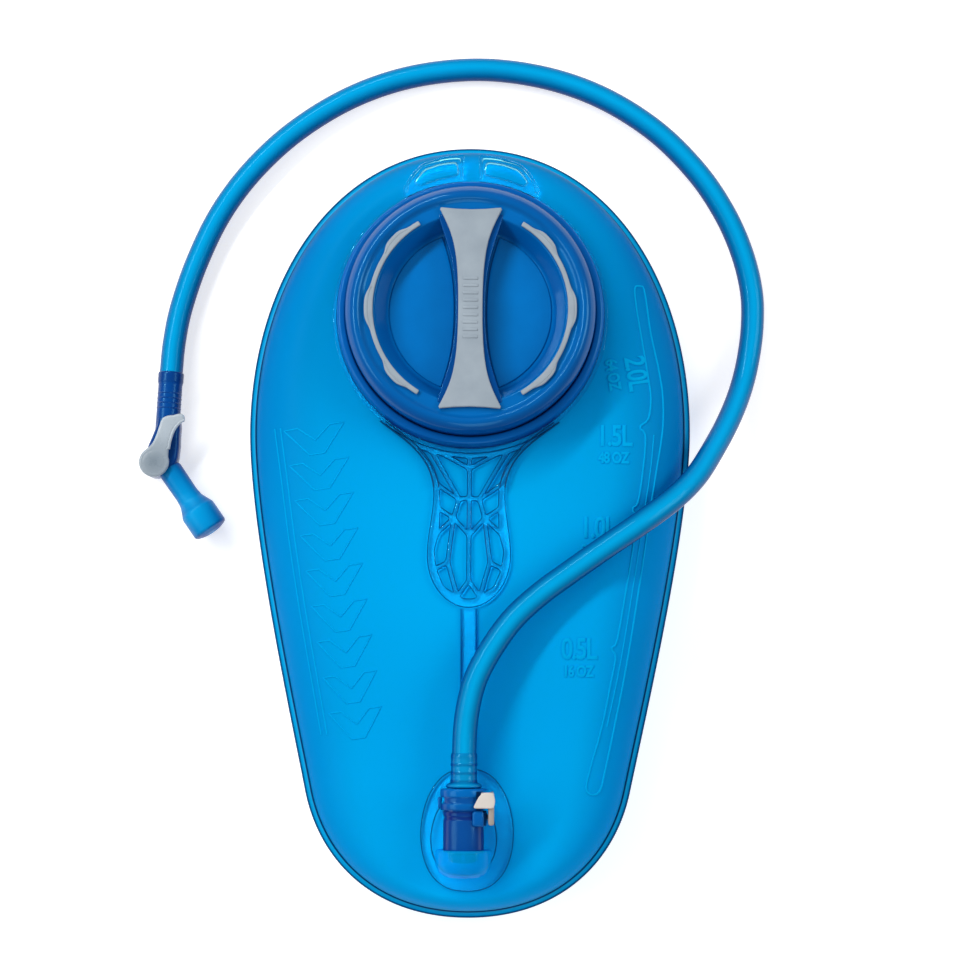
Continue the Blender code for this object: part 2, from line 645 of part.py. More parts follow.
def make_connector():
    """The male half of the quick link, with three rings where the hose grips it."""
    profile = [(2.4 * MM, -98.7 * MM), (5.5 * MM, -98.7 * MM)]
    for i in range(3):
        y = (-101.2 - 3.4 * i) * MM
        profile += [(5.5 * MM, y), (5.9 * MM, y - 0.5 * MM), (5.9 * MM, y - 1.2 * MM),
                    (5.4 * MM, y - 1.6 * MM)]
    profile += [
        (5.4 * MM, -110.2 * MM), (7.2 * MM, -110.4 * MM), (7.2 * MM, -111.5 * MM),
        (SPIGOT_R, -111.5 * MM), (SPIGOT_R, LATCH_Y + 1.4 * MM), (3.3 * MM, LATCH_Y + 1.4 * MM),
        (3.3 * MM, LATCH_Y - 1.4 * MM), (SPIGOT_R, LATCH_Y - 1.4 * MM),
        (SPIGOT_R, SEAL_Y + 1.0 * MM), (2.9 * MM, SEAL_Y + 1.0 * MM), (2.9 * MM, SEAL_Y - 1.0 * MM),
        (SPIGOT_R, SEAL_Y - 1.0 * MM), (SPIGOT_R, -128.2 * MM), (3.3 * MM, -128.9 * MM),
        (2.2 * MM, -128.9 * MM), (2.2 * MM, -112.0 * MM)]
    turned("hose_connector", profile, (LINK_X, 0, LINK_Z), M_CONNECTOR, 24, True, (0, 1, 0))
    ring("connector_o_ring", 3.6 * MM, 0.5 * MM, link(SEAL_Y), M_SEAL, 24, (0, 1, 0), 6)


def spring(name, start, direction, radius, wire, length, turns):
    """A coil spring as a round wire along a helix."""
    frame = Vector((0, 0, 1)).rotation_difference(Vector(direction)).to_matrix()
    points = []
    count = 10 * turns
    for i in range(count + 1):
        angle = 2 * math.pi * i / 10
        local = Vector((radius * math.cos(angle), radius * math.sin(angle), length * i / count))
        points.append(Vector(start) + frame @ local)
    poly_wire(name, points, wire, M_STEEL, 1)


# ---------------------------------------------------------------- hose and bite valve

def make_hose():
    route = [Vector(point) * MM for point in HOSE_ROUTE]
    poly_wire("hose", smooth_line(route, 9.5 * MM), HOSE_R, M_HOSE, 2)


def make_shutoff():
    toward_hose = (HOSE_END - ELBOW).normalized()
    spout = (MOUTH - ELBOW).normalized()
    body = rod("shutoff_body", 5.3 * MM, ELBOW, HOSE_END - 0.1 * MM * toward_hose, M_DARK)
    elbow_ball = bpy.data.meshes.new("elbow_ball")
    shape = bmesh.new()
    bmesh.ops.create_uvsphere(shape, u_segments=24, v_segments=12, radius=5.32 * MM)
    shape.to_mesh(elbow_ball)
    shape.free()
    ball = add(elbow_ball, "elbow_ball")
    ball.location = ELBOW
    boolean(body, ball, "UNION")
    chamber = rod("valve_chamber", 6.2 * MM, PIVOT - Vector((0, 0, 5.8 * MM)),
                  PIVOT + Vector((0, 0, 5.0 * MM)))
    boolean(body, chamber, "UNION")
    nozzle = rod("valve_spout", 3.4 * MM, ELBOW, ELBOW + 13 * MM * spout, steps=20)
    boolean(body, nozzle, "UNION")
    well = rod("rotor_well", ROTOR_R + 0.3 * MM, PIVOT - Vector((0, 0, 4.6 * MM)),
               PIVOT + Vector((0, 0, 9.0 * MM)))
    way_in = rod("water_in", 2.3 * MM, PIVOT, HOSE_END + 2 * MM * toward_hose, steps=16)
    way_out = rod("water_out", 2.0 * MM, PIVOT, ELBOW + 15 * MM * spout, steps=16)
    for cutter in (well, way_in, way_out):
        boolean(body, cutter, "DIFFERENCE")

    grooves = []
    for z in (2.9, -3.2):
        grooves += [(ROTOR_R, (z + 0.6) * MM), (3.3 * MM, (z + 0.6) * MM),
                    (3.3 * MM, (z - 0.6) * MM), (ROTOR_R, (z - 0.6) * MM)]
    rotor = turned("shutoff_rotor", [(0.0, 4.2 * MM), (ROTOR_R, 4.2 * MM), *grooves,
                                     (ROTOR_R, -4.3 * MM), (0.0, -4.3 * MM)], PIVOT, M_CONNECTOR, 24)
    drilled = rod("rotor_way", 2.0 * MM, PIVOT - 8 * MM * toward_hose, PIVOT + 8 * MM * toward_hose, steps=16)
    boolean(rotor, drilled, "DIFFERENCE")
    for name, z in (("rotor_o_ring_upper", 2.9), ("rotor_o_ring_lower", -3.2)):
        ring(name, 3.9 * MM, 0.4 * MM, PIVOT + Vector((0, 0, z * MM)), M_SEAL, 24, sides=6)


def make_lever():
    """The lever: a round hub on the pivot and an arm that curves up beside the hose."""
    hub = [(6.4 * math.cos(math.radians(a)), 6.4 * math.sin(math.radians(a)))
           for a in range(45, -241, -15)]
    arm = bezier((-3.4, 6.6), (0.4, 8.6), (0.6, 13.0), (2.4, 18.6), 5)
    arm += bezier((2.4, 18.6), (3.2, 21.0), (4.0, 21.6), (6.4, 21.7), 3)
    arm += bezier((6.4, 21.7), (9.0, 21.8), (10.6, 22.4), (11.7, 21.2), 3)
    arm += bezier((11.7, 21.2), (9.4, 18.4), (5.0, 16.0), (4.7, 5.6), 5)
    outline = [(x * MM, y * MM) for x, y in hub + arm]
    lever = as_mesh(plate("shutoff_lever", [outline], LEVER_Z, 2.4 * MM, M_LEVER))
    lever.location += Vector((PIVOT.x, PIVOT.y, 0))
    stem = rod("lever_stem", 2.6 * MM, PIVOT + Vector((0, 0, 4.2 * MM + GAP)),
               (PIVOT.x, PIVOT.y, LEVER_Z + 0.6 * MM), steps=16)
    boolean(lever, stem, "UNION")


def make_bite_valve():
    along = (MOUTH - ELBOW).normalized()
    end = (MOUTH - ELBOW).length
    valve = turned("bite_valve", [
        (0.0, end + 1.3 * MM), (4.2 * MM, end + 0.9 * MM), (7.4 * MM, end), (7.9 * MM, end - 0.7 * MM),
        (7.8 * MM, 25.4 * MM), (7.3 * MM, 24.6 * MM), (5.4 * MM, 20.4 * MM), (5.1 * MM, 17.0 * MM),
        (5.1 * MM, 6.0 * MM), (3.7 * MM, 6.0 * MM), (3.7 * MM, 14.0 * MM), (3.4 * MM, 21.0 * MM),
        (5.4 * MM, 26.0 * MM), (5.4 * MM, end - 2.2 * MM), (0.0, end - 1.2 * MM)],
        ELBOW, M_BITE, 24, False, along)
    slit = box("mouth_slit", (8.0 * MM, 6.0 * MM, 0.4 * MM), MOUTH)
    slit.rotation_euler = (0, 0, math.atan2(along.y, along.x) + math.pi / 2)
    boolean(valve, slit, "DIFFERENCE")


clear_scene()
PARTS = new_collection("hydration_bladder")
CUTTERS = new_collection("cutters")
M_FILM = material("blue_film", (0.0, 0.35, 0.72), 0.25)
M_CLEAR = material("clear_moulding", (0.25, 0.6, 0.85), 0.12)
M_COLLAR = material("blue_collar", (0.0, 0.10, 0.40), 0.25)
M_CAP = material("blue_cap", (0.0, 0.16, 0.50), 0.3)
M_GRIP = material("grey_grip", (0.36, 0.41, 0.44), 0.5)
M_SEAL = material("seal_rubber", (0.55, 0.58, 0.6), 0.6)
M_DARK = material("dark_blue_plastic", (0.01, 0.05, 0.32), 0.3)
M_BUTTON = material("cream_button", (0.82, 0.76, 0.64), 0.4)
M_CONNECTOR = material("connector_plastic", (0.02, 0.30, 0.62), 0.25)
M_STEEL = material("spring_steel", (0.6, 0.6, 0.62), 0.3, 1.0)
M_HOSE = material("blue_hose", (0.0, 0.28, 0.68), 0.2)
M_LEVER = material("grey_lever", (0.62, 0.66, 0.68), 0.35)
M_BITE = material("blue_silicone", (0.01, 0.25, 0.66), 0.35)

make_reservoir()
make_fill_port()
make_cap()
make_outlet()
make_socket()
make_connector()
make_hose()
make_shutoff()
make_lever()
make_bite_valve()
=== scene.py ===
"""The looks of the hydration reservoir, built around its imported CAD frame."""
import math
from contextlib import contextmanager

import bmesh
import bpy
from mathutils import Matrix, Vector, noise
from mathutils.bvhtree import BVHTree


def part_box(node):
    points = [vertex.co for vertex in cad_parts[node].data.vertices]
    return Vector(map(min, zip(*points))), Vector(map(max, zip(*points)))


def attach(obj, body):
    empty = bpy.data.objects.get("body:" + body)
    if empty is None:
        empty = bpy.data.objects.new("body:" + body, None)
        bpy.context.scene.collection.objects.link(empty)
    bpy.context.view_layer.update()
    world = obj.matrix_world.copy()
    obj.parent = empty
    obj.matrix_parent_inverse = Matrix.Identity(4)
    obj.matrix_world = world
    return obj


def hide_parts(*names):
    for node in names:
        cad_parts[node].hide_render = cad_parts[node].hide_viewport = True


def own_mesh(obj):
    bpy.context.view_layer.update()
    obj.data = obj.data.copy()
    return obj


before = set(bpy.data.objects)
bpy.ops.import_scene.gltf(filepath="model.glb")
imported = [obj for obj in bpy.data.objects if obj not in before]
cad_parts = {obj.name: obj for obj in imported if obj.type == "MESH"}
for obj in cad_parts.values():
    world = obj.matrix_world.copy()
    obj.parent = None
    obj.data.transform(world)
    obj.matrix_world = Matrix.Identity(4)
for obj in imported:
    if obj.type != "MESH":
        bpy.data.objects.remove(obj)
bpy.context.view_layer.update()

MM = 0.001
RESERVOIR, CAP, BUTTON = "reservoir", "cap", "button"
HOSE_BODY, LEVER = "hose_assembly", "lever"

# Driving places, read from the frame
FILM_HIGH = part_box("front_film")[1]
BACK_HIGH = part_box("back_film")[1]
COLLAR_LOW, COLLAR_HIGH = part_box("fill_collar")
GRIP_LOW, GRIP_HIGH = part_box("cap_grip")
ARC_LOW, ARC_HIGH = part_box("cap_arc_right")
TRUSS_LOW, TRUSS_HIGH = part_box("truss_handle")
FLANGE_LOW, FLANGE_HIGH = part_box("fill_flange")
OUTLET_LOW, OUTLET_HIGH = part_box("outlet_flange")
CONNECTOR_LOW, CONNECTOR_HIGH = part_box("hose_connector")
LEVER_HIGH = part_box("shutoff_lever")[1]
ROTOR_LOW, ROTOR_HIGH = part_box("shutoff_rotor")

SEAM_Z = BACK_HIGH[2]
FULL_Z = FILM_HIGH[2]
LOW_Z = FULL_Z - 6 * MM
FALL_START_Y, FALL_END_Y = -32 * MM, -104 * MM
WELD_WIDTH = 2.9 * MM
NECK_R = 46.8 * MM
FLANGE_R = 58.8 * MM
THREAD_WIRE_R = 1.35 * MM
CAP_CENTRE = Vector((0, (COLLAR_LOW[1] + COLLAR_HIGH[1]) / 2, 0))
LINK_AXIS = Vector(((CONNECTOR_LOW[0] + CONNECTOR_HIGH[0]) / 2, 0,
                    (CONNECTOR_LOW[2] + CONNECTOR_HIGH[2]) / 2))
# The button spring's place in millimetres, as link() takes it
SPRING_Y, SPRING_Z = -124.0, -2.5
OUTLET_Y = (OUTLET_LOW[1] + OUTLET_HIGH[1]) / 2
VALVE_Z = 8.4 * MM
PIVOT = Vector(((ROTOR_LOW[0] + ROTOR_HIGH[0]) / 2, (ROTOR_LOW[1] + ROTOR_HIGH[1]) / 2, VALVE_Z))
ELBOW = Vector((-134.4 * MM, 28.5 * MM, VALVE_Z))
HOSE_END = Vector((-132.5 * MM, 67.8 * MM, VALVE_Z))
MOUTH = Vector((-113.5 * MM, -1.2 * MM, VALVE_Z))

HOSE_R = 5.1 * MM

UP, ALONG_LINK = Vector((0, 0, 1)), Vector((0, 1, 0))

# The hose's centre line in millimetres, from the connector to the bite valve
HOSE_ROUTE = (
    (-1.4, -98.4, 52.0), (-0.9, -86.0, 52.3), (0.8, -75.0, 53.2), (3.8, -65.0, 54.0),
    (10.2, -53.0, 54.3), (19.0, -41.0, 54.2), (30.0, -30.8, 53.4), (42.0, -21.9, 52.4),
    (56.0, -11.9, 51.9), (72.0, -0.8, 50.4), (86.5, 10.3, 44.8), (97.0, 21.0, 37.0),
    (105.5, 34.0, 27.6), (113.0, 47.5, 18.6), (119.0, 61.5, 11.0), (123.0, 76.0, 6.8),
    (125.2, 92.0, 5.4), (124.8, 108.0, 5.3), (120.4, 126.0, 5.3), (112.4, 144.0, 5.3),
    (100.0, 162.3, 5.3), (81.6, 180.6, 5.3), (58.0, 195.4, 5.3), (32.0, 204.4, 5.3),
    (3.0, 207.8, 5.3), (-27.0, 204.4, 5.3), (-54.0, 194.9, 5.3), (-78.5, 179.6, 5.3),
    (-98.0, 161.1, 5.3), (-112.3, 141.0, 5.3), (-122.4, 119.0, 5.3), (-129.0, 98.0, 5.6),
    (-131.6, 82.0, 7.2), (-132.5, 68.2, 8.4),
)


def added(name, data):
    """A new object in the scene."""
    obj = bpy.data.objects.new(name, data)
    bpy.context.scene.collection.objects.link(obj)
    return obj


def fill(node, **values):
    """Sets a node's sockets, whose names are given with underscores for spaces."""
    for socket, value in values.items():
        node.inputs[socket.replace("_", " ")].default_value = value
    return node


# ---------------------------------------------------------------- camera, lights, floor

def look_at(obj, target, roll=0.0):
    aim = (Vector(target) - obj.location).to_track_quat("-Z", "Y")
    obj.rotation_euler = (aim.to_matrix() @ Matrix.Rotation(roll, 3, "Z")).to_euler()


def make_camera():
    """Nearly straight down over the front, a little from the outlet's end."""
    data = bpy.data.cameras.new("camera")
    data.lens = 86.2
    data.clip_end = 10
    camera = added("camera", data)
    target = Vector((4.5 * MM, 20.4 * MM, 21 * MM))
    elevation = math.radians(84)
    camera.location = target + Vector((0, -math.cos(elevation), math.sin(elevation)))
    look_at(camera, target, math.radians(0.37))
    bpy.context.scene.camera = camera


def area_light(name, place, target, size, power, depth=None):
    """A lamp: a disc, or a strip where its depth is given."""
    data = bpy.data.lights.new(name, "AREA")
    data.shape = "RECTANGLE" if depth else "DISK"
    data.size = size
    if depth:
        data.size_y = depth
    data.energy = power
    light = added(name, data)
    light.location = place
    look_at(light, target)


def make_stage():
    floor_mesh = bpy.data.meshes.new("floor")
    shape = bmesh.new()
    bmesh.ops.create_grid(shape, x_segments=2, y_segments=2, size=3.0)
    shape.to_mesh(floor_mesh)
    shape.free()
    floor = added("floor", floor_mesh)
    floor.location.z = -0.4 * MM
    mat = bpy.data.materials.new("floor_paper")
    mat.use_nodes = True
    fill(mat.node_tree.nodes["Principled BSDF"], Base_Color=(0.8, 0.8, 0.8, 1), Roughness=0.9,
         Specular_IOR_Level=0.1, Emission_Color=(1, 1, 1, 1), Emission_Strength=0.55)
    floor_mesh.materials.append(mat)
    world = bpy.data.worlds.new("studio")
    bpy.context.scene.world = world
    world.use_nodes = True
    fill(world.node_tree.nodes["Background"], Color=(1, 1, 1, 1), Strength=0.34)
    area_light("key", (-0.8, 0.78, 1.1), (0, 0.08, 0.06), 1.7, 19, 0.1)
    area_light("right", (1.2, 0.2, 0.9), (0, 0, 0.03), 0.8, 8)
    area_light("low", (0.1, -1.3, 0.9), (0, 0, 0.03), 0.8, 3)
    area_light("left", (-1.2, -0.2, 0.9), (0, 0, 0.03), 0.8, 5)
    bpy.context.scene.view_settings.view_transform = "Standard"


# ---------------------------------------------------------------- materials

def srgb(red, green, blue):
    """A colour given in screen values of 0 to 255, as linear light."""
    def linear(value):
        value /= 255
        return value / 12.92 if value <= 0.04045 else ((value + 0.055) / 1.055) ** 2.4
    return (linear(red), linear(green), linear(blue), 1.0)


class Look:
    """A procedural material: a Principled shader with the nodes that feed it."""

    def __init__(self, name, color, roughness=0.3, **sockets):
        self.mat = bpy.data.materials.new(name)
        self.mat.use_nodes = True
        self.tree = self.mat.node_tree
        self.shader = self.tree.nodes["Principled BSDF"]
        fill(self.shader, Base_Color=color, Roughness=roughness, **sockets)
        self.place = self.node("ShaderNodeTexCoord").outputs["Object"]

    def node(self, kind, **values):
        return fill(self.tree.nodes.new(kind), **values)

    def link(self, source, target):
        self.tree.links.new(source, target)

    def noise(self, scale, detail=3.0, stretch=(1, 1, 1)):
        mapping = self.node("ShaderNodeMapping", Scale=stretch)
        self.link(self.place, mapping.inputs["Vector"])
        texture = self.node("ShaderNodeTexNoise", Scale=scale, Detail=detail)
        self.link(mapping.outputs["Vector"], texture.inputs["Vector"])
        return texture.outputs["Fac"]

    def ranged(self, source, low, high):
        """Spreads the middle of a noise's values over a range."""
        change = self.node("ShaderNodeMapRange", From_Min=0.3, From_Max=0.7, To_Min=low, To_Max=high)
        self.link(source, change.inputs["Value"])
        return change.outputs["Result"]

    def mixed(self, factor, first, second):
        """A colour between two colours, either of which may be another node's output."""
        mix = self.node("ShaderNodeMix")
        mix.data_type = "RGBA"
        self.link(factor, mix.inputs["Factor"])
        for value, socket in ((first, mix.inputs[6]), (second, mix.inputs[7])):
            if isinstance(value, bpy.types.NodeSocket):
                self.link(value, socket)
            else:
                socket.default_value = value
        return mix.outputs[2]

    def attribute(self, name):
        reader = self.node("ShaderNodeAttribute")
        reader.attribute_name = name
        return reader.outputs["Fac"]

    def color(self, source):
        self.link(source, self.shader.inputs["Base Color"])

    def mottled(self, color, other, scale, detail=3.0, stretch=(1, 1, 1)):
        self.color(self.mixed(self.ranged(self.noise(scale, detail, stretch), 0, 1), color, other))
        return self

    def tinted(self, shade_color, scale=60.0, share=0.10):
        """Darker where the mesh's tint attribute paints shade, over a faint random tone."""
        bright = tuple(self.shader.inputs["Base Color"].default_value)
        dim = tuple(c * (1 - share) for c in bright[:3]) + (1.0,)
        base = self.mixed(self.ranged(self.noise(scale), 0, 1), bright, dim)
        self.color(self.mixed(self.attribute("tint"), base, shade_color))
        return self

    def rough(self, low, high, scale=400.0):
        self.link(self.ranged(self.noise(scale), low, high), self.shader.inputs["Roughness"])
        return self

    def bump(self, scale, strength, distance=0.0002, detail=4.0):
        bump = self.node("ShaderNodeBump", Strength=strength, Distance=distance)
        self.link(self.noise(scale, detail), bump.inputs["Height"])
        self.link(bump.outputs["Normal"], self.shader.inputs["Normal"])
        return self

    def mixed_with_clear(self, color):
        """Mixes the shader with a tinted clear one, and returns the mix's factor."""
        clear = self.node("ShaderNodeBsdfTransparent", Color=color)
        mix = self.node("ShaderNodeMixShader")
        self.link(self.shader.outputs["BSDF"], mix.inputs[1])
        self.link(clear.outputs["BSDF"], mix.inputs[2])
        self.link(mix.outputs["Shader"], self.tree.nodes["Material Output"].inputs["Surface"])
        return mix.inputs["Fac"]

    def lets_lamps_through(self, color):
        """Clear plastic that casts a tinted shadow instead of a black one."""
        shadow_ray = self.node("ShaderNodeLightPath").outputs["Is Shadow Ray"]
        self.link(shadow_ray, self.mixed_with_clear(color))
        return self

    def see_through(self, color, share):
        """Lets a share of the light straight through, tinted, as thin clear plastic does."""
        self.mixed_with_clear(color).default_value = share
        return self


# A blue gloss, for plastics that the light enters before it comes back
SKY = (0.25, 0.8, 1.0, 1.0)


def film_look():
    look = Look("blue_film", srgb(0, 180, 238), 0.36, IOR=1.05)
    # The tint paints shade in a deeper blue over the film's steep edges and sides.
    look.tinted(srgb(0, 100, 166), 9.0, 0.04)
    look.rough(0.32, 0.40, 60.0).bump(16.0, 0.10, 0.001, 2.0)
    return look.see_through(srgb(20, 170, 250), 0.26).mat


def line_look():
    """The weld's bright band, and the deep lines of painted shade at a moulding's edges, where light is
    lost.
    """
    look = Look("weld_and_edges", srgb(0, 168, 224), 0.3, IOR=1.2, Specular_IOR_Level=0.4)
    return look.tinted(srgb(0, 46, 96), 60.0).rough(0.26, 0.34).mat


def clear_look():
    look = Look("clear_moulding", srgb(190, 246, 248), 0.05, Transmission_Weight=1.0, IOR=1.3,
                Specular_Tint=SKY)
    # The tint paints shade on the clear mouldings' sides.
    look.tinted(srgb(4, 116, 178), 40.0, 0.06).rough(0.03, 0.06, 200.0)
    return look.lets_lamps_through(srgb(225, 245, 255)).mat


def cup_look():
    """The thin clear wall round the quick link's nose."""
    look = Look("clear_cup", srgb(0, 196, 250), 0.08, IOR=1.3, Specular_Tint=SKY)
    look.tinted(srgb(4, 116, 178), 40.0, 0.06).rough(0.06, 0.1, 200.0)
    return look.see_through(srgb(150, 228, 255), 0.7).mat


def collar_look():
    look = Look("collar_plastic", srgb(0, 92, 174), 0.22, IOR=1.35, Specular_Tint=SKY)
    # The tint paints shade in a deep navy.
    look.tinted(srgb(14, 30, 96)).rough(0.16, 0.26).bump(60.0, 0.08, 0.0003)
    return look.mat


def cap_look():
    look = Look("cap_plastic", srgb(0, 112, 190), 0.15, IOR=1.42, Specular_Tint=SKY)
    # The tint paints shade in a deeper blue.
    look.tinted(srgb(0, 40, 116)).rough(0.1, 0.17).bump(60.0, 0.08, 0.0003)
    return look.mat


def grip_look():
    look = Look("grip_rubber", srgb(150, 162, 172), 0.55, Specular_IOR_Level=0.3)
    look.mottled(srgb(151, 163, 173), srgb(139, 151, 162), 90.0)
    return look.rough(0.46, 0.62).bump(1600.0, 0.3, 0.0001).mat


def dark_look():
    look = Look("dark_blue_plastic", srgb(0, 108, 190), 0.18, IOR=1.35, Specular_Tint=SKY)
    # The tint paints shade in a deep navy.
    look.tinted(srgb(14, 30, 112), 120.0)
    return look.rough(0.12, 0.24).bump(140.0, 0.1, 0.0002).see_through(srgb(40, 120, 230), 0.08).mat


def sleeve_look():
    look = Look("shutoff_plastic", srgb(0, 76, 158), 0.24, IOR=1.35, Specular_Tint=SKY)
    # The tint paints shade in a deep navy.
    look.tinted(srgb(10, 20, 84), 120.0)
    return look.rough(0.18, 0.3).bump(140.0, 0.1, 0.0002).mat


def connector_look():
    look = Look("connector_plastic", srgb(6, 164, 226), 0.12, IOR=1.35, Specular_Tint=SKY)
    # The tint paints shade in a deeper blue.
    look.tinted(srgb(0, 60, 132), 120.0)
    return look.rough(0.08, 0.18).see_through(srgb(60, 180, 240), 0.22).mat


def hose_look():
    """Clear blue hose, with painted shade: bright along its top, deep along its sides."""
    look = Look("hose_wall", srgb(0, 164, 224), 0.16, IOR=1.25, Specular_Tint=SKY)
    look.tinted(srgb(4, 48, 116), 40.0, 0.06).rough(0.12, 0.2, 120.0)
    return look.see_through(srgb(40, 170, 240), 0.08).mat


def button_look():
    look = Look("cream_button", srgb(210, 203, 196), 0.4, Specular_IOR_Level=0.3)
    # The tint paints shade in a dark brown.
    look.tinted(srgb(112, 98, 88), 160.0, 0.08)
    return look.rough(0.34, 0.46).bump(900.0, 0.15, 0.0001).mat


def lever_look():
    look = Look("grey_lever", srgb(170, 181, 190), 0.3, Specular_IOR_Level=0.4)
    # The tint paints shade in a deeper grey.
    look.tinted(srgb(80, 98, 112), 90.0, 0.08)
    return look.rough(0.24, 0.36).bump(700.0, 0.12, 0.0001).mat


def bite_look():
    look = Look("blue_silicone", srgb(0, 154, 218), 0.3, IOR=1.3, Specular_Tint=SKY)
    # The tint paints shade in a deeper blue.
    look.tinted(srgb(0, 66, 140), 80.0)
    return look.rough(0.28, 0.38).bump(500.0, 0.1, 0.0001).mat


def seal_look():
    look = Look("seal_rubber", srgb(205, 208, 210), 0.55)
    return look.mottled(srgb(208, 211, 213), srgb(186, 190, 194), 120.0).bump(800.0, 0.2, 0.0001).mat


def steel_look():
    look = Look("spring_steel", srgb(176, 178, 182), 0.28, Metallic=1.0)
    look.mottled(srgb(178, 180, 184), srgb(150, 152, 158), 200.0, 4.0, (1, 6, 1))
    return look.rough(0.2, 0.36).mat


# ---------------------------------------------------------------- mesh helpers

@contextmanager
def edited(mesh):
    """The mesh, opened for editing and then written back."""
    shape = bmesh.new()
    shape.from_mesh(mesh)
    yield shape
    shape.to_mesh(mesh)
    shape.free()


def new_mesh(name, verts, faces, tints=None):
    mesh = bpy.data.meshes.new(name)
    mesh.from_pydata([tuple(v) for v in verts], [], faces)
    if tints:
        add_tint(mesh, tints)
    return mesh


def grid_faces(rows, total, closed=False):
    """The faces between rows of points, where each row is a ring of the same number of points."""
    faces = []
    for row in range(rows if closed else rows - 1):
        a, b = row * total, (row + 1) % rows * total
        for i in range(total):
            j = (i + 1) % total
            faces.append((a + i, a + j, b + j, b + i))
    return faces


def finish_mesh(name, mesh, mat, body, replaced=(), slot=None, angle=32):
    """Links a piece, gives it its material and body, and hides the CAD nodes that it stands for."""
    with edited(mesh) as shape:
        bmesh.ops.recalc_face_normals(shape, faces=shape.faces)
    mesh.shade_smooth()
    mesh.set_sharp_from_angle(angle=math.radians(angle))
    obj = added(name, mesh)
    if not mesh.materials:
        mesh.materials.append(mat)
    if body:
        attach(obj, body)
    if replaced:
        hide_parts(*replaced)
    return obj


def softened(points, radius, steps=3, closed=True):
    """A profile or outline with its corners rounded. Each point is (a, b, radius factor...)."""
    count = len(points)
    result = []
    for i, point in enumerate(points):
        if not closed and i in (0, count - 1):
            result.append(tuple(point))
            continue
        here = Vector(point)
        before, after = Vector(points[i - 1]), Vector(points[(i + 1) % count])
        reach_in = min(radius, 0.45 * (here.xy - before.xy).length)
        reach_out = min(radius, 0.45 * (after.xy - here.xy).length)
        if min(reach_in, reach_out) < 1e-6:
            result.append(tuple(point))
            continue
        start = here.lerp(before, reach_in / (here.xy - before.xy).length)
        end = here.lerp(after, reach_out / (after.xy - here.xy).length)
        for k in range(steps + 1):
            t = k / steps
            result.append(tuple((1 - t) ** 2 * start + 2 * t * (1 - t) * here + t * t * end))
    return result


def lathe_mesh(name, profile, centre, axis, steps, closed=True):
    """Spins a profile of (radius, height, tint) about an axis. An open one ends on the axis."""
    turn = UP.rotation_difference(axis).to_matrix()
    verts, tints, rows = [], [], []
    for radius, height, tint in profile:
        count = 1 if radius < 1e-6 else steps
        rows.append(range(len(verts), len(verts) + count))
        for k in range(count):
            angle = 2 * math.pi * k / steps
            local = Vector((radius * math.cos(angle), radius * math.sin(angle), height))
            verts.append(Vector(centre) + turn @ local)
            tints.append(tint)
    faces = []
    pairs = list(zip(rows, rows[1:])) + ([(rows[-1], rows[0])] if closed else [])
    for low, high in pairs:
        for k in range(steps):
            j = (k + 1) % steps
            if len(low) == 1 and len(high) == 1:
                continue
            if len(low) == 1:
                faces.append((low[0], high[k], high[j]))
            elif len(high) == 1:
                faces.append((low[k], high[0], low[j]))
            else:
                faces.append((low[k], high[k], high[j], low[j]))
    return new_mesh(name, verts, faces, tints)


def add_tint(mesh, tints):
    layer = mesh.attributes.new("tint", "FLOAT", "POINT")
    layer.data.foreach_set("value", tints)


def turned(name, profile, rounding, centre, axis, steps=96, closed=True, corner_steps=3):
    """A turned shape, from a profile in millimetres whose corners are rounded by a radius in them."""
    soft = softened(profile_mm(profile), rounding * MM, corner_steps, closed)
    return lathe_mesh(name, soft, centre, axis, steps, closed)


def paint_side_shade(mesh, start, axis, share):
    """Adds painted shade to the tint where a round piece's surface turns away from above, as clear walls
    look, and in full underneath.
    """
    layer = mesh.attributes["tint"].data
    for vert, entry in zip(mesh.vertices, layer):
        away = vert.co - start
        away -= axis * away.dot(axis)
        level = away.xy.length / max(away.length, 1e-9)
        entry.value = min(1.0, entry.value + share * (level ** 2.5 if away.z > 0 else 1.0))


def slab(name, outlines, z_low, z_high, edge, mat=None, body=None, replaced=(), slot=None, tint=0.0,
         side_tint=None):
    """A flat plate with rounded edges; the outlines after the first are holes."""
    curve = bpy.data.curves.new(name, "CURVE")
    curve.dimensions = "2D"
    curve.fill_mode = "BOTH"
    curve.extrude = (z_high - z_low) / 2 - edge
    curve.bevel_depth = edge
    curve.bevel_resolution = 3
    curve.offset = -edge
    for outline in outlines:
        spline = curve.splines.new("POLY")
        spline.points.add(len(outline) - 1)
        for point, place in zip(spline.points, outline):
            point.co = (place[0], place[1], 0.0, 1.0)
        spline.use_cyclic_u = True
    mesh = mesh_of(curve, name)
    mesh.transform(Matrix.Translation((0, 0, (z_low + z_high) / 2)))
    side_tint = tint if side_tint is None else side_tint
    middle, flat = (z_low + z_high) / 2, (z_high - z_low) / 2 - 0.3 * edge
    add_tint(mesh, [tint if abs(vert.co.z - middle) > flat else side_tint for vert in mesh.vertices])
    return finish_mesh(name, mesh, mat, body, replaced, slot) if mat else mesh


def mesh_of(curve, name):
    """The welded mesh that a curve makes."""
    holder = added(name + "_curve", curve)
    bpy.context.view_layer.update()
    graph = bpy.context.evaluated_depsgraph_get()
    mesh = bpy.data.meshes.new_from_object(holder.evaluated_get(graph))
    bpy.data.objects.remove(holder, do_unlink=True)
    with edited(mesh) as shape:
        bmesh.ops.remove_doubles(shape, verts=shape.verts, dist=0.003 * MM)
    mesh.materials.clear()
    return mesh


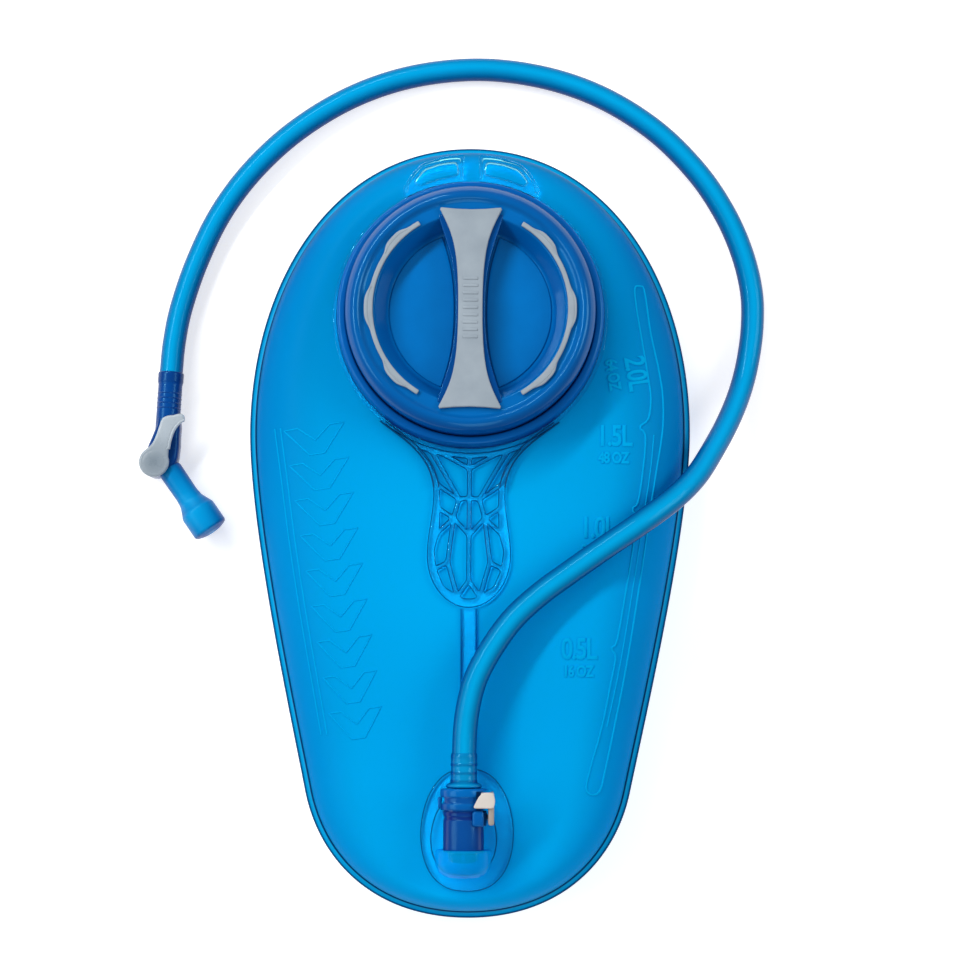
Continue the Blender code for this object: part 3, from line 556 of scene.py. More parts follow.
def wire_mesh(name, points, radius, closed=False, sides=8, flat=1.0):
    """A round wire through the points, as a mesh tube with closed ends."""
    line = [Vector(p) for p in points]
    count = len(line)
    verts = []
    for i, point in enumerate(line):
        before = line[i - 1] if (i or closed) else line[0]
        after = line[(i + 1) % count] if (i < count - 1 or closed) else line[-1]
        along = (after - before).normalized()
        side = along.cross(UP).normalized() if abs(along.dot(UP)) < 0.99 else Vector((1, 0, 0))
        over = side.cross(along)
        for k in range(sides):
            angle = 2 * math.pi * k / sides
            verts.append(point + radius * (math.cos(angle) * side + flat * math.sin(angle) * over))
    faces = grid_faces(count, sides, closed)
    if not closed:
        faces.append(tuple(range(sides - 1, -1, -1)))
        faces.append(tuple((count - 1) * sides + k for k in range(sides)))
    return new_mesh(name, verts, faces)


def joined(name, meshes):
    """One mesh made of several, kept as separate shells."""
    shape = bmesh.new()
    for mesh in meshes:
        shape.from_mesh(mesh)
        bpy.data.meshes.remove(mesh)
    mesh = bpy.data.meshes.new(name)
    shape.to_mesh(mesh)
    shape.free()
    return mesh


def finish_parts(name, meshes, *rest, tint=None):
    """Finishes one piece made of several meshes, with the same tint all over where it is given."""
    mesh = joined(name, meshes)
    return finish_mesh(name, mesh if tint is None else even_tint(mesh, tint), *rest)


def cut(obj, cutter_mesh):
    """Takes a mesh's volume out of a piece, keeping the piece's material."""
    cutter = added("cutter", cutter_mesh)
    change = obj.modifiers.new("cut", "BOOLEAN")
    change.object = cutter
    change.operation = "DIFFERENCE"
    change.solver = "EXACT"
    bpy.context.view_layer.update()
    graph = bpy.context.evaluated_depsgraph_get()
    mesh = bpy.data.meshes.new_from_object(obj.evaluated_get(graph))
    obj.modifiers.clear()
    old = obj.data
    obj.data = mesh
    mesh.name = old.name
    bpy.data.objects.remove(cutter, do_unlink=True)
    mesh.set_sharp_from_angle(angle=math.radians(32))


def block_mesh(name, size, centre, bevel=0.3 * MM, turn=0.0, axis="Z"):
    shape = bmesh.new()
    place = Matrix.Translation(centre) @ Matrix.Rotation(turn, 4, axis) @ Matrix.Diagonal((*size, 1.0))
    bmesh.ops.create_cube(shape, size=1.0, matrix=place)
    if bevel:
        bmesh.ops.bevel(shape, geom=shape.edges[:], offset=bevel, segments=3, affect="EDGES", profile=0.5)
    mesh = bpy.data.meshes.new(name)
    shape.to_mesh(mesh)
    shape.free()
    return mesh


def rod_mesh(name, radius, start, end, steps=48, tint=0.0):
    length = (end - start).length
    profile = [(0, 0, tint), (radius, 0, tint), (radius, length, tint), (0, length, tint)]
    return lathe_mesh(name, profile, start, (end - start).normalized(), steps, False)


def bezier(p0, p1, p2, p3, count):
    """Points along a cubic Bezier, without its last one."""
    points = []
    for i in range(count):
        t = i / count
        s = 1 - t
        points.append(tuple(s ** 3 * a + 3 * s * s * t * b + 3 * s * t * t * c + t ** 3 * d
                            for a, b, c, d in zip(p0, p1, p2, p3)))
    return points


def smooth_line(points, spacing, closed=False):
    """Evenly spaced points along a Catmull-Rom curve through the points."""
    guide = [Vector(p) for p in points]
    if closed:
        guide = [guide[-1]] + guide + guide[:2]
    else:
        guide = [2 * guide[0] - guide[1]] + guide + [2 * guide[-1] - guide[-2]]
    fine = []
    for a, b, c, d in zip(guide, guide[1:], guide[2:], guide[3:]):
        for i in range(24):
            t = i / 24
            fine.append(0.5 * (2 * b + (c - a) * t + (2 * a - 5 * b + 4 * c - d) * t * t
                               + (3 * b - a - 3 * c + d) * t ** 3))
    fine.append(guide[-2])
    length = sum((q - p).length for p, q in zip(fine, fine[1:]))
    count = max(2, round(length / spacing))
    step = length / count
    line, walked = [fine[0]], 0.0
    for p, q in zip(fine, fine[1:]):
        span = (q - p).length
        while len(line) < count and walked + span >= step * len(line):
            line.append(p.lerp(q, (step * len(line) - walked) / max(span, 1e-9)))
        walked += span
    return line if closed else line + [fine[-1]]


def mirrored(points):
    return [(-p[0], *p[1:]) for p in points]


def in_mm(points):
    return [tuple(v * MM for v in p) for p in points]


def profile_mm(points):
    """A profile of (radius, height, tint) whose first two are given in millimetres."""
    return [(radius * MM, height * MM, tint) for radius, height, tint in points]


def even_tint(mesh, tint):
    add_tint(mesh, [tint] * len(mesh.vertices))
    return mesh


# ---------------------------------------------------------------- stage, materials and hose

make_camera()
make_stage()

M_FILM, M_LINE, M_CLEAR, M_CUP = film_look(), line_look(), clear_look(), cup_look()
M_COLLAR, M_CAP = collar_look(), cap_look()
M_GRIP, M_DARK, M_SLEEVE, M_LINK = grip_look(), dark_look(), sleeve_look(), connector_look()
M_HOSE, M_BUTTON = hose_look(), button_look()
M_LEVER, M_BITE = lever_look(), bite_look()
M_SEAL, M_STEEL = seal_look(), steel_look()


def make_hose():
    """The hose, with a tint of painted shade that deepens from its top to its sides, and is deepest
    underneath.
    """
    line = smooth_line(in_mm(HOSE_ROUTE), 2.0 * MM)
    sides = 48
    mesh = wire_mesh("hose_tube", line, HOSE_R, False, sides)
    ring = []
    for k in range(sides):
        angle = 2 * math.pi * k / sides
        ring.append(abs(math.cos(angle)) ** 1.5 if math.sin(angle) > 0 else 1.0)
    add_tint(mesh, ring * len(line))
    return finish_mesh("hose_tube", mesh, M_HOSE, HOSE_BODY, ("hose",), "hose", 60), line


# ---------------------------------------------------------------- reservoir

def half_outline(top, widest, side, low, low_side, bottom, base, count):
    """The right half of the reservoir's outline, in three arcs from its top to its bottom."""
    points = bezier((0, top), (side[0], top), (widest[0], side[1]), widest, count)
    points += bezier(widest, (widest[0], widest[1] - base), low_side, low, count)
    points += bezier(low, (low[0] - 5.7, low[1] - 29), (0.59 * low[0], bottom), (0, bottom), count)
    return points + [(0, bottom)]


def whole(half):
    return in_mm(half + [(-x, y) for x, y in reversed(half[1:-1])])


def bag_outline(count):
    return whole(half_outline(167.4, (95.9, 42.3), (60, 109), (69.9, -113), (77.8, -76), -167.4, 40, count))


def crown_outline(count):
    return whole(half_outline(148, (62, 86), (38, 122), (43, -112), (50, -70), -157.5, 60, count))


def inset(outline, width):
    """The outline moved inwards; the outline runs clockwise."""
    moved = []
    for i, point in enumerate(outline):
        before, after = outline[i - 1], outline[(i + 1) % len(outline)]
        along = (Vector(after) - Vector(before)).normalized()
        moved.append((point[0] + width * along.y, point[1] - width * along.x))
    return moved


def crown_height(y):
    """How high the front film's middle stands: level, then lower towards the outlet."""
    t = min(1.0, max(0.0, (y - FALL_END_Y) / (FALL_START_Y - FALL_END_Y)))
    return LOW_Z + (FULL_Z - LOW_Z) * t * t * (3 - 2 * t)


def film_mesh(name, front):
    """One film of the bag: a steep edge that turns over into a broad flat middle."""
    count, middle_rings = 40, 20
    seam, crown = inset(bag_outline(count), WELD_WIDTH), crown_outline(count)
    total = len(seam)
    verts, tints = [], []
    steps = [0.0, 0.012, 0.035, 0.07, 0.115, 0.17, 0.23, 0.3, 0.38, 0.46, 0.55, 0.64, 0.73, 0.82, 0.91, 1.0]
    for t in steps:
        rise = math.sqrt(1 - (1 - t) ** 2)
        for a, b in zip(seam, crown):
            x, y = a[0] + (b[0] - a[0]) * t, a[1] + (b[1] - a[1]) * t
            verts.append(film_point(x, y, rise, front))
            # Painted shade: the tint deepens towards the steep edge, on top of film_shade.
            tints.append(0.5 * (1 - t) ** 1.3 + film_shade(x, y))
    for k in range(1, middle_rings + 1):
        s = 1 - k / middle_rings * 0.97
        for x, y in crown:
            verts.append(film_point(x * s, y * (0.45 + 0.55 * s), 1.0, front))
            tints.append(film_shade(x * s, y))
    rings = len(verts) // total
    faces = grid_faces(rings, total)
    a = (rings - 1) * total
    half = total // 2
    for i in range(half):
        if i == 0:
            faces.append((a, a + 1, a + total - 1))
        elif i == half - 1:
            faces.append((a + i, a + half, a + total - i))
        else:
            faces.append((a + i, a + i + 1, a + total - i - 1, a + total - i))
    return new_mesh(name, verts, faces, [min(1.0, t) for t in tints])


def film_shade(x, y):
    """How much darker the film's blue is towards the port, and how much painted shade it has towards the
    sides.
    """
    port = min(1.0, max(0.0, (y / MM - 5) / 110))
    return 0.26 * port + 0.2 * min(1.0, abs(x) / (70 * MM)) ** 2


def film_point(x, y, rise, front):
    """A point of the film, with the faint waves that filled film has beside the crown."""
    wave = 0.35 * MM * noise.noise(Vector((x * 26, y * 15, 3.0 if front else 7.0)))
    wave *= math.sin(math.pi * min(1.0, rise)) if rise < 1 else 0.25
    top = crown_height(y) if front else 0.0
    lift = SEAM_Z + (top - SEAM_Z) * rise
    return (x, y, lift + (wave if front else max(0.0, wave)))


def make_films():
    """The front film, open at the filler's neck, and the back film."""
    front = film_mesh("film_front", True)
    with edited(front) as shape:
        gone = [f for f in shape.faces
                if (f.calc_center_median().xy - CAP_CENTRE.xy).length < NECK_R + 0.8 * MM]
        bmesh.ops.delete(shape, geom=gone, context="FACES")
        for vert in shape.verts:
            away = vert.co.xy - CAP_CENTRE.xy
            if vert.is_boundary and away.length < NECK_R + 8 * MM:
                vert.co.xy = CAP_CENTRE.xy + away * (NECK_R / away.length)
    film = finish_mesh("film_front", front, M_FILM, RESERVOIR, ("front_film",), "film", 60)
    finish_mesh("film_back", film_mesh("film_back", False), M_FILM, RESERVOIR, ("back_film",), "film", 60)
    return film


def make_weld_rim():
    """The weld all round: a flat band between a raised outer edge and a pressed inner line."""
    # The third value is a tint of painted shade: dark lines on the outer edge and on the pressed inner
    # line.
    profile = [
        (0.0, 0.0, 1.0), (0.05, 0.35, 1.0), (0.3, 0.62, 0.95), (0.62, 0.62, 0.75), (0.85, 0.42, 0.2),
        (1.0, 0.36, 0.0), (2.05, 0.36, 0.0), (2.25, 0.5, 0.6), (2.5, 0.66, 1.0), (3.0, 0.62, 1.0),
        (3.3, 0.3, 0.9)]
    section = profile + [(w, -h, t) for w, h, t in reversed(profile[1:])]
    outline = bag_outline(72)
    verts, tints = [], []
    for width, height, tint in section:
        for x, y in inset(outline, width * MM):
            verts.append((x, y, SEAM_Z + height * MM))
            tints.append(tint)
    mesh = new_mesh("weld_rim", verts, grid_faces(len(section), len(outline), True), tints)
    finish_mesh("weld_rim", mesh, M_LINE, RESERVOIR, (), "film", 60)


class Film:
    """The front film's surface, for pieces that lie on it."""

    def __init__(self, film):
        shape = bmesh.new()
        shape.from_mesh(film.data)
        self.tree = BVHTree.FromBMesh(shape)
        shape.free()

    def height(self, x, y):
        hit = self.tree.ray_cast(Vector((x, y, 0.2)), Vector((0, 0, -1)))[0]
        return hit.z if hit else crown_height(y)

    def line(self, points, lift, spacing=2.0 * MM, closed=False):
        """The points, evenly spaced, dropped on to the film."""
        flat = smooth_line([(p[0], p[1], 0.0) for p in points], spacing, closed)
        return [(p.x, p.y, self.height(p.x, p.y) + lift) for p in flat]


def straight_loop(points):
    """Points every 2 mm along the straight sides of a closed outline, with its corners kept."""
    line = [Vector(p) for p in points]
    made = []
    for a, b in zip(line, line[1:] + line[:1]):
        steps = max(1, round((b - a).length / (2.0 * MM)))
        made += [a.lerp(b, i / steps) for i in range(steps)]
    return made


def make_embossing(film):
    """Raised lines of the level window and a plain pattern of chevrons."""
    window = in_mm([
        (70.3, 101.0), (72.6, 102.4), (74.6, 100.4), (77.2, 82.0), (80.8, 66.0), (82.6, 54.0),
        (82.4, 40.0), (79.6, 22.0), (76.2, 0.0), (71.8, -30.0), (66.6, -62.0), (61.6, -88.0),
        (58.4, -103.0), (56.0, -112.6), (52.6, -114.6), (50.0, -112.0), (51.6, -104.0), (56.6, -86.0),
        (60.6, -66.0), (62.2, -56.5), (60.4, -53.0), (62.8, -49.5), (66.6, -28.0), (69.8, -8.0),
        (71.0, 2.5), (69.2, 6.0), (71.8, 9.5), (74.2, 26.0), (74.8, 37.5), (72.4, 41.0), (76.2, 45.0),
        (77.2, 54.0), (75.8, 64.0), (73.0, 80.0), (71.0, 92.0)])
    meshes = [wire_mesh("window", film.line(window, 0.06 * MM, 1.5 * MM, True), 0.42 * MM, True, 8, 0.8)]
    inner = in_mm([(78.6, 38.0), (77.0, 22.0), (73.4, -2.0), (68.8, -32.0), (63.8, -62.0), (58.8, -86.0)])
    meshes.append(wire_mesh("window_line", film.line(inner, 0.05 * MM, 2 * MM), 0.3 * MM, False, 8, 0.8))
    chevron = ((-13, 6.5), (-7, 6.5), (0, 0.5), (7, 6.5), (13, 6.5), (3.2, -5.5), (-3.2, -5.5))
    first, pitch, chevrons = Vector((-65.5, 34.0)), Vector((2.35, -15.0)), 9
    slope = math.radians(8.0)
    for i in range(chevrons):
        middle = (first + pitch * i) * MM
        outline = []
        for x, y in chevron:
            across = x * (1 - 0.018 * i)
            place = middle + Vector((across * math.cos(slope) - y * math.sin(slope),
                                     across * math.sin(slope) + y * math.cos(slope))) * MM
            outline.append((place.x, place.y))
        points = [(p.x, p.y, film.height(p.x, p.y) + 0.04 * MM) for p in straight_loop(outline)]
        meshes.append(wire_mesh("chevron", points, 0.32 * MM, True, 8, 0.8))
    bar = in_mm([(-83.5, 40), (-80.5, 20), (-76.5, -8), (-71.5, -38), (-66.0, -68), (-62.0, -90)])
    for side in (0.0, 2.6 * MM):
        rail = film.line([(x + side, y) for x, y in bar], 0.04 * MM, 2 * MM)
        meshes.append(wire_mesh("chevron_rail", rail, 0.3 * MM, False, 8, 0.8))
    finish_parts("film_embossing", meshes, M_FILM, RESERVOIR, (), "film", 60, tint=0.0)


def make_graduations(film):
    """Volume marks in raised numerals."""
    meshes = []
    marks = (("2.0L", 9.4, (70.6, 64.0), -80), ("64 OZ", 5.2, (60.6, 63.2), -80),
             ("1.5L", 9.6, (61.6, 36.6), 0), ("48 OZ", 5.0, (61.2, 27.4), 0),
             ("1.0L", 9.6, (54.6, -2.6), 0), ("32 OZ", 5.0, (54.2, -12.0), 0),
             ("0.5L", 9.6, (46.8, -53.8), 0), ("16 OZ", 5.0, (46.4, -63.0), 0))
    for words, size, place, turn in marks:
        curve = bpy.data.curves.new("mark", "FONT")
        curve.body = words
        curve.size = size * 1.3 * MM
        curve.align_x = "CENTER"
        curve.space_character = 0.9
        curve.align_y = "CENTER"
        curve.extrude = 0.2 * MM
        curve.bevel_depth = 0.2 * MM
        curve.bevel_resolution = 1
        curve.offset = 0.12 * MM
        mesh = mesh_of(curve, "mark")
        squeeze = Matrix.Diagonal((0.78, 1.0, 1.0, 1.0))
        mesh.transform(Matrix.Rotation(math.radians(turn), 4, "Z") @ squeeze)
        mesh.transform(Matrix.Translation((place[0] * MM, place[1] * MM, 0)))
        for vert in mesh.vertices:
            vert.co.z += film.height(vert.co.x, vert.co.y) + 0.02 * MM
        meshes.append(mesh)
    finish_parts("film_graduations", meshes, M_FILM, RESERVOIR, (), "film", 30, tint=0.0)


def make_spine():
    """The strip from the handle down to the outlet, with a bead along each side."""
    top, bottom, half = -36.0 * MM, -103.6 * MM, 3.4 * MM
    low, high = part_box("spine_strip")
    meshes = []
    for x in (-half + 0.3 * MM, half - 0.3 * MM):
        points = [(x, y * MM, crown_height(y * MM) + 0.75 * MM) for y in range(-37, -104, -2)]
        meshes.append(wire_mesh("spine_bead", points, 0.4 * MM, False, 10))
    # The beads' tint darkens them with painted shade.
    finish_parts("spine_beads", meshes, M_FILM, RESERVOIR, (), "clear_moulding", 60, tint=0.75)
    verts, rows = [], 34
    for i in range(rows + 1):
        y = top + (bottom - top) * i / rows
        z = crown_height(y)
        for x, lift in ((-half, 0.5), (-half + 0.4 * MM, 1.1), (half - 0.4 * MM, 1.1), (half, 0.5)):
            verts.append((x, min(high[1], max(low[1], y)), z + lift * MM))
    faces = grid_faces(rows + 1, 4) + [(0, 1, 2, 3), tuple(4 * rows + k for k in range(4))]
    mesh = new_mesh("spine_strip_clear", verts, faces)
    finish_mesh("spine_strip_clear", mesh, M_CLEAR, RESERVOIR, ("spine_strip",), "clear_moulding")


# ---------------------------------------------------------------- fill port

def circle(radius, centre):
    count = 160
    return [(centre[0] + radius * math.cos(2 * math.pi * i / count),
             centre[1] + radius * math.sin(2 * math.pi * i / count)) for i in range(count)]


def smooth_outline(points):
    """A closed curve through points in millimetres, with one of its own every 0.6 mm."""
    return [(p.x, p.y) for p in smooth_line([(x, y, 0.0) for x, y in points], 0.6, True)]


def rounded_outline(points, radius, steps=5):
    return [p[:2] for p in softened([(x, y) for x, y in points], radius, steps)]


def make_flange():
    """The clear ring round the filler, with its two hang loops."""
    low, high = FLANGE_LOW[2], FLANGE_HIGH[2]
    centre = (CAP_CENTRE.x, CAP_CENTRE.y)
    # The ring's and the loops' sides are darkened with painted shade.
    slab("flange_ring", [circle(FLANGE_R, centre), circle(NECK_R, centre)], low, high, 0.5 * MM,
         M_CLEAR, RESERVOIR, ("fill_flange",), "clear_moulding", side_tint=0.6)
    meshes = []
    for side in (1, -1):
        def placed(points):
            return [(side * x, y) for x, y in in_mm(points)]
        outer = [(3.1, 158.4)] + bezier((4.4, 158.2), (12, 157.6), (20, 155.6), (24, 151.6), 8)
        outer += bezier((24, 151.6), (26.4, 149), (28, 146.4), (29.6, 142.6), 6)
        outer += [(29.6, 142.6), (28.4, 138.4), (20, 141.5), (10, 143.3), (3.1, 143.6)]
        slot = [(5.6, 149.5), (5.9, 153.4), (7.4, 154.6), (14, 153.6), (20.2, 151.3), (24.4, 146.2),
                (22.6, 144.4), (15, 147.2), (10, 148.4)]
        edge = rounded_outline(placed(outer), 1.6 * MM)
        hole = rounded_outline(placed(slot), 1.4 * MM)
        meshes.append(slab("hang_loop", [edge, hole], low, high, 0.5 * MM, side_tint=0.5))
        ridge = [(4.3, 147.6), (4.3, 155.4), (6.6, 156.6), (14, 155.6), (21.4, 153.0), (26.6, 146.2),
                 (27.8, 141.6)]
        points = smooth_line([(x, y, high + 0.1 * MM) for x, y in placed(ridge)], 1.0 * MM)
        meshes.append(wire_mesh("hang_ridge", points, 0.55 * MM, False, 10))
        rim = [(x, y, high) for x, y in rounded_outline(placed(slot), 1.4 * MM)]
        meshes.append(wire_mesh("slot_rim", rim, 0.4 * MM, True, 8))
    finish_parts("hang_loops", meshes, M_CLEAR, RESERVOIR, (), "clear_moulding")


def thread_mesh(name, radius, bottom, rise, start, sweep, steps):
    """A thread about the cap's axis, in millimetres, from a start angle over a sweep in degrees."""
    helix = []
    for i in range(steps + 1):
        t = i / steps
        angle = math.radians(start + sweep * t)
        place = Vector((radius * math.cos(angle), radius * math.sin(angle), bottom + rise * t))
        helix.append(CAP_CENTRE + place * MM)
    return wire_mesh(name, helix, THREAD_WIRE_R, False, 10)


def make_collar():
    """The threaded collar, with the broad rim that the cap comes down on."""
    # The third value of each point is a tint of painted shade: deepest on the inner wall, down the outer
    # side and below, lightest on the rim's top, and partly on the thread.
    profile = [
        (46.0, 60.0, 0.2), (46.0, 56.6, 0.5), (46.0, 51.0, 1.0), (52.9, 51.0, 1.0), (52.9, 56.1, 0.3),
        (53.4, 56.8, 0.1), (55.2, 56.8, 0.0), (56.2, 56.2, 0.15), (56.7, 53.4, 0.35),
        (57.3, 50.2, 0.9), (57.4, 48.2, 1.0), (56.8, 47.7, 1.0), (46.4, 47.7, 1.0),
        (46.0, 43.6, 1.0), (43.7, 43.6, 1.0), (43.7, 60.0, 0.3)]
    meshes = [turned("collar", profile, 0.5, CAP_CENTRE, UP, 192, corner_steps=4)]
    meshes.append(even_tint(thread_mesh("male_thread", 46.1, 52.6, 6, 0, 360, 180), 0.6))
    finish_parts("collar_ring", meshes, M_COLLAR, RESERVOIR, ("fill_collar",), "collar_plastic", 40)


# Joints between the cells of the truss on the handle's right half, in millimetres
TRUSS_CELLS = (
    ((0, 27.6), (10.4, 28.5), (0, 22.5)),
    ((0, 22.5), (11.8, 28.8), (15.8, 29.7), (4.3, 9.5), (0, 9.9)),
    ((16.2, 29.8), (24.4, 32.7), (17.6, 24.6), (13.5, 15.6), (4.3, 9.5)),
    ((13.5, 15.4), (13.2, 5.6), (6.6, 1.4), (4.3, 9.5)),
    ((0, 9.9), (4.3, 9.5), (6.6, 1.4), (0, -5.8)),
    ((6.6, 1.4), (13.2, 5.6), (13.6, -5.2)),
    ((6.6, 1.4), (13.6, -5.2), (15.6, -12.4), (14.6, -20.4), (8.9, -17.3)),
    ((0, -5.8), (6.6, 1.4), (8.9, -17.3), (4.8, -31.6), (0, -25.2)),
    ((8.9, -17.3), (14.6, -20.4), (11.2, -28.4), (4.8, -32.0)),
)


def truss_arm(count):
    """The handle's arm, which swings out beside the collar."""
    return bezier((38, 42.4), (27, 34), (15.6, 28), (14.9, 12), count)


def truss_edge():
    """The handle's outline: down one arm, round the tongue, up the other and along the flange."""
    right = truss_arm(14) + bezier((14.9, 12), (14.8, 3), (17.6, -6), (17.4, -15), 12)
    right += bezier((17.4, -15), (17.2, -27), (9, -36.2), (0, -36.2), 14) + [(0, -36.2)]
    right = [p for p in in_mm(right) if math.hypot(p[0], p[1] - CAP_CENTRE.y) > FLANGE_R + 0.4 * MM]
    arc, arc_steps, arc_r = [], 24, FLANGE_R + 0.2 * MM
    start = math.atan2(right[0][1] - CAP_CENTRE.y, right[0][0])
    for i in range(1, arc_steps):
        angle = start + (-math.pi - 2 * start) * i / arc_steps
        arc.append((arc_r * math.cos(angle), CAP_CENTRE.y + arc_r * math.sin(angle)))
    return right + mirrored(list(reversed(right[:-1]))) + list(reversed(arc))


def shrunk(cell, width):
    """A convex cell moved inwards by a width all round."""
    points = [Vector(p) for p in cell]
    area = sum(a.x * b.y - b.x * a.y for a, b in zip(points, points[1:] + points[:1]))
    if area < 0:
        points.reverse()
    made = []
    for i, point in enumerate(points):
        before = (point - points[i - 1]).normalized()
        after = (points[(i + 1) % len(points)] - point).normalized()
        n1, n2 = Vector((-before.y, before.x)), Vector((-after.y, after.x))
        middle = (n1 + n2).normalized()
        made.append(tuple(point + middle * (width / max(0.3, middle.dot(n1)))))
    return made


def make_truss():
    """The handle: a clear plate with cells cut out and painted shade on its sides, and deep lines of
    painted shade round each of them.
    """
    low, high = TRUSS_LOW[2], TRUSS_HIGH[2]
    rib = 0.72 * MM
    holes = []
    for cell in TRUSS_CELLS:
        hole = rounded_outline(shrunk(in_mm(cell), rib), 1.3 * MM, 4)
        holes += [hole, mirrored(hole)]
    bottom = shrunk(in_mm([(0, -25.2), (4.8, -32.0), (2.4, -33.6), (-2.4, -33.6), (-4.8, -32.0)]), rib)
    holes.append(rounded_outline(bottom, 1.2 * MM, 4))
    lines = [wire_mesh("rib_line", [(x, y, low + 0.9 * MM) for x, y in loop], 0.3 * MM, True, 6)
             for loop in holes + [truss_edge()]]
    for side in (1, -1):
        for shift, radius in ((0.0, 0.34), (-2.2, 0.26)):
            arm = [((x + shift) * side * MM, y * MM, high + 0.1 * MM) for x, y in truss_arm(20)]
            lines.append(wire_mesh("arm_line", arm, radius * MM, False, 8))
    finish_parts("truss_lines", lines, M_LINE, RESERVOIR, (), "film", 60, tint=0.9)
    slab("truss", [truss_edge()] + holes, low, high, 0.42 * MM, M_CLEAR, RESERVOIR, ("truss_handle",),
         "clear_moulding", side_tint=1.0)


# ---------------------------------------------------------------- cap

def grip_outline(end_half, waist_half, length_half, count=10, hollow=0.8, neck=(0.5, 0.72, 0.66)):
    """A bow tie. The neck gives the share of the length that stays slim, and where it flares."""
    quarter = bezier((waist_half, 0), (waist_half, neck[0] * length_half),
                     (neck[1] * end_half, neck[2] * length_half), (end_half, 0.98 * length_half), count)
    quarter += [(end_half, 0.98 * length_half), (end_half - 0.4, length_half),
                (0.5 * end_half, length_half - 0.7 * hollow)]
    right = [(x, -y) for x, y in reversed(quarter)] + quarter
    full = right + [(0, length_half - hollow)] + [(-x, y) for x, y in reversed(right)]
    return in_mm(full + [(0, hollow - length_half)])


def on_cap(points):
    """Points given from the cap's centre."""
    return [(x + CAP_CENTRE.x, y + CAP_CENTRE.y) for x, y in points]


def make_cap():
    """The cap: a ring round a dish, with a web under the grip and a floor on each side of it."""
    # The third value of each point is a tint of painted shade: over the crown's outer slope and the skirt,
    # and deepest under the rim.
    crown = [(46.0, 66.7, 0.4), (46.9, 67.6, 0.4), (47.9, 68.0, 0.45), (49.1, 67.7, 0.5),
             (50.3, 66.8, 0.6), (51.5, 65.5, 0.7), (52.5, 64.0, 0.8)]
    profile = [
        (0.0, 56.0, 0.0), (33.0, 56.0, 0.0), (34.6, 56.3, 0.2), (36.0, 57.6, 0.5), (39.9, 65.3, 0.4),
        (40.5, 66.0, 0.3), (45.0, 66.0, 0.25), *crown, (52.7, 63.0, 0.8), (52.7, 53.4, 0.9),
        (52.0, 52.4, 1.0), (48.4, 52.4, 1.0), (48.4, 62.2, 1.0), (42.8, 62.2, 1.0), (40.6, 60.6, 1.0),
        (37.0, 54.0, 0.6), (0.0, 54.0, 0.3)]
    meshes = [turned("cap", profile, 0.5, CAP_CENTRE, UP, 192, False, 4)]
    web = on_cap(grip_outline(13.6, 6.1, 39.9, 16, 0.0))
    # The web, the well floors' sides and the thread are darkened with painted shade as well.
    meshes.append(slab("bridge", [web], 55.2 * MM, 66.3 * MM, 0.5 * MM, tint=0.75))
    for side in (1, -1):
        web = bezier((6.1, 0), (6.1, 20.0), (9.8, 26.3), (13.6, 39.1), 24)
        web = [(x + 0.7, y) for x, y in web if math.hypot(x + 0.7, y) < 34.0]
        last = math.degrees(math.atan2(web[-1][1], web[-1][0]))
        pad = [(34.4 * math.cos(math.radians(a)), 34.4 * math.sin(math.radians(a)))
               for a in [-last + 2 * last * k / 50 for k in range(51)]]
        pad += [(x, y) for x, y in reversed(web)] + [(x, -y) for x, y in web[1:]]
        outline = rounded_outline(on_cap(in_mm([(side * x, y) for x, y in pad])), 3.2 * MM, 4)
        meshes.append(slab("well_floor", [outline], 55.7 * MM, 56.9 * MM, 0.55 * MM, side_tint=0.3))
    meshes.append(even_tint(thread_mesh("female_thread", 48.2, 54, 5.6, -96, 338, 170), 1.0))
    finish_parts("cap_body", meshes, M_CAP, CAP, ("cap_shell",), "cap_plastic", 40)


def make_grip():
    """The grey bow-tie grip, with plain ribs across its middle."""
    low, high = GRIP_LOW[2], GRIP_HIGH[2]
    outline = grip_outline(13.0, 5.1, 42.6, 20, 0.8, (0.62, 0.6, 0.74))
    meshes = [slab("grip", [on_cap(outline)], low, high, 0.55 * MM)]
    ribs, pitch = 9, 3.1 * MM
    for i in range(ribs):
        place = (0, CAP_CENTRE.y + (i - ribs // 2) * pitch, high - 0.1 * MM)
        meshes.append(block_mesh("grip_rib", (6.4 * MM, 1.3 * MM, 0.9 * MM), place, 0.35 * MM))
    finish_parts("grip_bar", meshes, M_GRIP, CAP, ("cap_grip",), "grip")


def make_arcs():
    """The two grey arcs in the cap's ring, each with three bumps for the fingers."""
    low, high = ARC_LOW[2], ARC_HIGH[2]
    half_sweep, steps = 59, 120
    bumps = ((-42, 8), (0, 10), (42, 8))
    for side, node in ((1, "cap_arc_right"), (-1, "cap_arc_left")):
        inner, outer, ridge = [], [], []
        for i in range(steps + 1):
            degrees = half_sweep * (2 * i / steps - 1)
            angle = math.radians(degrees)
            bump = sum(math.exp(-((degrees - at) / width) ** 4) for at, width in bumps)
            along = Vector((side * math.cos(angle), math.sin(angle)))
            inner.append(tuple(along * 40.9 * MM))
            outer.append(tuple(along * (42.9 + 1.7 * bump) * MM))
            if bump > 0.12:
                ridge.append((i, along * (42.4 + 0.9 * bump) * MM))
        outline = rounded_outline(on_cap(outer + inner[::-1]), 0.8 * MM, 4)
        meshes = [slab("arc", [outline], low, high, 0.45 * MM)]
        runs, last = [], None
        for i, place in ridge:
            if last is None or i != last + 1:
                runs.append([])
            runs[-1].append((place.x + CAP_CENTRE.x, place.y + CAP_CENTRE.y, high - 0.02 * MM))
            last = i
        for run in runs:
            meshes.append(wire_mesh("arc_line", run, 0.22 * MM, False, 6))
        finish_parts("grip_" + node[4:], meshes, M_GRIP, CAP, (node,), "grip")


# ---------------------------------------------------------------- outlet and quick link

